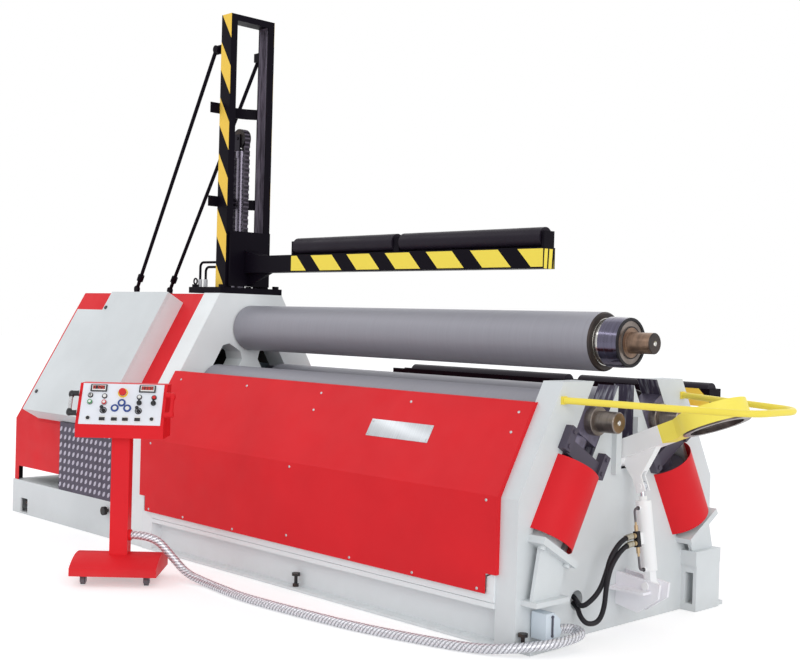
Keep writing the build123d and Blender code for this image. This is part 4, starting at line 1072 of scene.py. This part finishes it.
black_plastic = plastic("black_plastic", (34, 34, 38))
red_plastic = plastic("red_plastic", (214, 40, 40))
green_plastic = plastic("green_plastic", (44, 150, 78))
white_plastic = plastic("white_plastic", (232, 232, 230))
blue_plastic = plastic("blue_plastic", (44, 72, 142))
yellow_plastic = plastic("yellow_plastic", (246, 206, 50))
lit_red = plastic("lit_red_segments", (255, 70, 50))
control_kit = [black_plastic, red_plastic, white_plastic, blue_plastic]
control_kit += [yellow_plastic, lit_red, screw_steel, red]
in_black, in_red, in_white, in_blue, in_yellow, in_light, in_steel, in_paint = range(len(control_kit))
dress(red_plastic, "e_stop_button", "stop_button")
dress(green_plastic, "start_button")
dress(black_plastic, "joystick_left", "joystick_right", "selector_left", "selector_right")
grip_offset = 0.295
desk_side = 0.2548
grip_ends = ((-0.092, 0.990), (-0.036, 1.100))
grip_radius = 0.0112
grip_inset = 0.004
stub_radius = 0.0160
stub_flare = 0.0190
flare_length = 0.006
stub_set_back = 0.008
grip_knob = [(0.0, -0.0176), (0.0085, -0.0155), (0.0148, -0.0098), (0.0178, 0.0)]
grip_knob += [(0.0172, 0.012), (0.0130, 0.024), (0.0, 0.024)]


def bar_from(start, stop):
    place = (stop - start).normalized().to_track_quat("Z", "Y").to_matrix().to_4x4()
    place.translation = start
    return place, (stop - start).length


for side, x, bar_finish, end_finish in (
    ("left", -grip_offset, in_steel, in_black),
    ("right", grip_offset, in_paint, in_paint),
):
    grip_shell = bmesh.new()
    low, high = [console_place @ Vector((x, y, z)) for y, z in grip_ends]
    bar, run = bar_from(low, high)
    bar_line = [(0.0, grip_inset), (grip_radius, grip_inset)]
    bar_line += [(grip_radius, run - grip_inset), (0.0, run - grip_inset)]
    lathe(grip_shell, bar_line, bar, 24, bar_finish)
    for height, inward in ((0.0, 1), (run, -1)):
        knob = [(radius, height + inward * rise) for radius, rise in grip_knob]
        lathe(grip_shell, knob, bar, 24, end_finish)
    for y, z in grip_ends:
        start = console_place @ Vector((x, y, z))
        stop = console_place @ Vector((math.copysign(desk_side, x), y + stub_set_back, z))
        stub, span = bar_from(start, stop)
        stub_line = [(0.0, grip_inset), (stub_radius, grip_inset), (stub_radius, span - flare_length)]
        stub_line += [(stub_flare, span), (0.0, span)]
        lathe(grip_shell, stub_line, stub, 24, end_finish)
    settle("grab_handle_" + side, grip_shell, control_kit, "machine", "bright_steel")

# Panel controls: two red digital readouts, push buttons on bezels, a key switch and rocker switches on
# white tags. They are moulded parts set in holes of the panel and held by rings.
panel_face = 0.004
display_shell = bmesh.new()
lit_parts = {"0": "abcdef", "1": "bc", "2": "abged", "3": "abgcd", "5": "afgcd", "8": "abcdefg"}
part_spots = {"a": (0, 1.0, 1), "b": (1, 0.5, 0), "c": (1, 0.0, 0), "d": (0, 0.0, 1), "e": (0, 0.0, 0)}
part_spots.update({"f": (0, 0.5, 0), "g": (0, 0.5, 1)})
digit_width = 0.0095
digit_height = 0.0180
digit_step = 0.0175
digits_start = -0.033
digits_foot = 0.0905
flat_segment = (0.0120, 0.0026)
upright_segment = (0.0026, 0.0116)
segment_back = panel_face + 0.0100
segment_front = panel_face + 0.0106
display_layers = (
    (0.0485, 0.0755, 0.1205, 0.0096, in_black, 0.002),
    (0.0400, 0.0815, 0.1160, 0.0099, in_white, 0.001),
    (0.0360, 0.0890, 0.1130, 0.0102, in_black, 0.001),
)


def layered(shell, x, layers):
    for half_width, bottom, top, rise, finish, round_off in layers:
        low = (x - half_width, bottom, panel_face)
        high = (x + half_width, top, panel_face + rise)
        slab(shell, low, high, panel_place, finish, round_off)


for x, digits in ((-0.142, "0125"), (0.142, "0380")):
    layered(display_shell, x, display_layers)
    for place, digit in enumerate(digits):
        for mark in lit_parts[digit]:
            column, row, flat = part_spots[mark]
            low_x = x + digits_start + place * digit_step + column * digit_width
            low_y = digits_foot + row * digit_height
            wide, tall = flat_segment if flat else upright_segment
            low = (low_x, low_y, segment_back)
            high = (low_x + wide, low_y + tall, segment_front)
            slab(display_shell, low, high, panel_place, in_light)
settle("panel_readouts", display_shell, control_kit, "machine", "black_plastic")


def on_panel(x, y):
    return panel_place @ Matrix.Translation((x, y, panel_face))


cap_size = 0.0125
bezel_line = [(0.0, 0.0), (cap_size * 1.25, 0.0), (cap_size * 1.25, 0.0045), (cap_size * 1.12, 0.0065)]
bezel_line += [(cap_size * 0.92, 0.0065), (cap_size * 0.90, 0.0045), (0.0, 0.0045)]
cap_line = [(0.0, 0.0046), (cap_size * 0.82, 0.0046), (cap_size * 0.82, 0.009)]
cap_line += [(cap_size * 0.70, 0.0106), (0.0, 0.0110)]
key_spot = (-0.187, 0.052)
button_shell = bmesh.new()
for spot, bezel, cap in (
    (key_spot, in_black, in_white),
    ((-0.104, 0.048), in_black, in_white),
    ((0.099, 0.046), in_black, in_white),
    ((0.185, 0.045), in_black, in_red),
    ((-0.185, -0.092), in_white, in_black),
    ((0.185, -0.092), in_white, in_black),
):
    lathe(button_shell, bezel_line, on_panel(*spot), 28, bezel)
    lathe(button_shell, cap_line, on_panel(*spot), 28, cap)
slab(button_shell, (-0.0022, -0.008, 0.010), (0.0022, 0.008, 0.024), on_panel(*key_spot), in_black, 0.0008)
ring_line = [(0.0, 0.0), (0.0232, 0.0), (0.0232, 0.0050), (0.0205, 0.0074)]
ring_line += [(0.0140, 0.0074), (0.0128, 0.0050)]
ring_cap_line = [(0.0128, 0.0050), (0.0110, 0.0062), (0.0, 0.0066)]
for x, y in ((0.0, 0.008), (-0.037, -0.026), (0.036, -0.026)):
    lathe(button_shell, ring_line, on_panel(x, y), 36, in_blue)
    lathe(button_shell, ring_cap_line, on_panel(x, y), 36, in_white)
rocker_layers = (
    (0.0170, -0.1185, -0.0735, 0.0012, in_white, 0.0004),
    (0.0165, -0.1050, -0.0870, 0.0090, in_black, 0.0015),
)
for x in (-0.103, -0.033, 0.031, 0.102):
    layered(button_shell, x, rocker_layers)
settle("panel_controls", button_shell, control_kit, "machine", "black_plastic")


def bored_ring(inner, outer, shoulder, crown, top):
    return [(inner, 0.0), (outer, 0.0), (outer, shoulder), (crown, top), (inner, top), (inner, 0.0)]


stop_shell = bmesh.new()
stop_disc = bored_ring(0.0216, 0.0290, 0.0036, 0.0275, 0.0046)
lathe(stop_shell, stop_disc, on_panel(0.0, 0.071), 40, in_yellow)
settle("emergency_stop_disc", stop_shell, control_kit, "machine", "yellow_paint")
lit_buttons = (("start_button", -0.185, 0.008), ("stop_button", -0.102, 0.007))
button_collar = bored_ring(0.0134, 0.0168, 0.0042, 0.0158, 0.0056)
joystick_collar = bored_ring(0.0155, 0.0205, 0.003, 0.0185, 0.006)
collar_shell = bmesh.new()
for body, x, y in lit_buttons:
    lathe(collar_shell, button_collar, on_panel(x, y), 28, in_steel)
for x in (-0.102, 0.102):
    lathe(collar_shell, joystick_collar, on_panel(x, -0.041), 28, in_black)
settle("button_collars", collar_shell, control_kit, "machine", "bright_steel")
lens_line = [(0.0, 0.0155), (0.0085, 0.0155), (0.0080, 0.0168), (0.0, 0.0174)]
for body, x, y in lit_buttons:
    lens_shell = bmesh.new()
    lathe(lens_shell, lens_line, on_panel(x, y), 24, in_white)
    settle(body + "_lens", lens_shell, control_kit, body, "panel_plate")

# Junction box: a pale steel box with a hinge rod, low on the drop-end frame. The conduit enters it
# through a gland.
hinge_rod_front = 2.6765
lid_seam = (-0.6915, -0.6885)


def box_trim(tree, spot, hue):
    hue = tinted(tree, beyond(tree, spot, "X", hinge_rod_front), hue, (84, 84, 96))
    return tinted(tree, between(tree, spot, "Y", *lid_seam), hue, (128, 134, 150))


dress(sprayed("pale_box_paint", (222, 232, 241), box_trim, rough=0.42), "junction_box")

# Conduit: bright strip steel wound in a spiral over the cable, from the foot of the console along the
# floor to the junction box. Its grooves are darkened as painted shade.
conduit_radius = 0.0240
conduit_step = 0.0034
conduit_sides = 48
strips = 5
strip_pitch = 0.0230
groove_share = 0.22
groove_depth = 0.0018
conduit_route = []
for run, rise in ((0.0665, 0.270), (0.196, 0.270), (0.304, 0.152)):
    ahead = Vector((run * math.cos(console_yaw), run * math.sin(console_yaw), rise))
    conduit_route.append(tuple(console_foot + ahead))
conduit_route += [(0.358, -1.226, 0.052), (0.500, -1.200, 0.026), (0.700, -1.224, 0.024)]
conduit_route += [(0.960, -1.252, 0.024), (1.409, -1.224, 0.024), (1.811, -1.184, 0.024)]
conduit_route += [(2.149, -1.106, 0.024), (2.464, -1.010, 0.024), (2.610, -0.915, 0.040)]
conduit_route += [(2.712, -0.785, 0.056), (2.752, -0.668, 0.068), (2.752, -0.560, 0.080)]
conduit_route += [(2.696, -0.528, 0.085), (2.640, -0.560, 0.089), (2.640, -0.622, 0.089)]
conduit_path, conduit_pace = even_steps(smooth_line("conduit_line", conduit_route), conduit_step)


def wound_strip(index, turn):
    part = (index * conduit_pace / strip_pitch + strips * turn / (2 * math.pi)) % 1.0
    groove = max(0.0, 1.0 - abs(part - 0.5) / groove_share)
    return conduit_radius - groove_depth * groove


# The grooves are darkened by their depth: painted shade in the creases of the winding.
def painted_shade_grooves(tree, spot, hue):
    depth = put(tree, "ShaderNodeAttribute", attribute_name="groove").outputs["Fac"]
    return tinted(tree, depth, hue, (52, 48, 62))


conduit_steel = metal(
    "strip_wound_steel", (228, 228, 234), 0.28, (30.0, 30.0, 30.0), 0.45, marking=painted_shade_grooves
)
conduit_shell = bmesh.new()
sleeve(conduit_shell, conduit_path, wound_strip, conduit_sides)
conduit = settle(
    "strip_wound_conduit", conduit_shell, [conduit_steel], "machine", "conduit_steel",
    "console_conduit", crease=60,
)
depths = []
for index in range(len(conduit_path)):
    for step in range(conduit_sides):
        turn = 2 * math.pi * step / conduit_sides
        depths.append((conduit_radius - wound_strip(index, turn)) / groove_depth)
grooves = conduit.data.attributes.new("groove", "FLOAT", "POINT")
grooves.data.foreach_set("value", depths)

for spare in (screw_head, lozenge, link):
    bpy.data.objects.remove(spare)
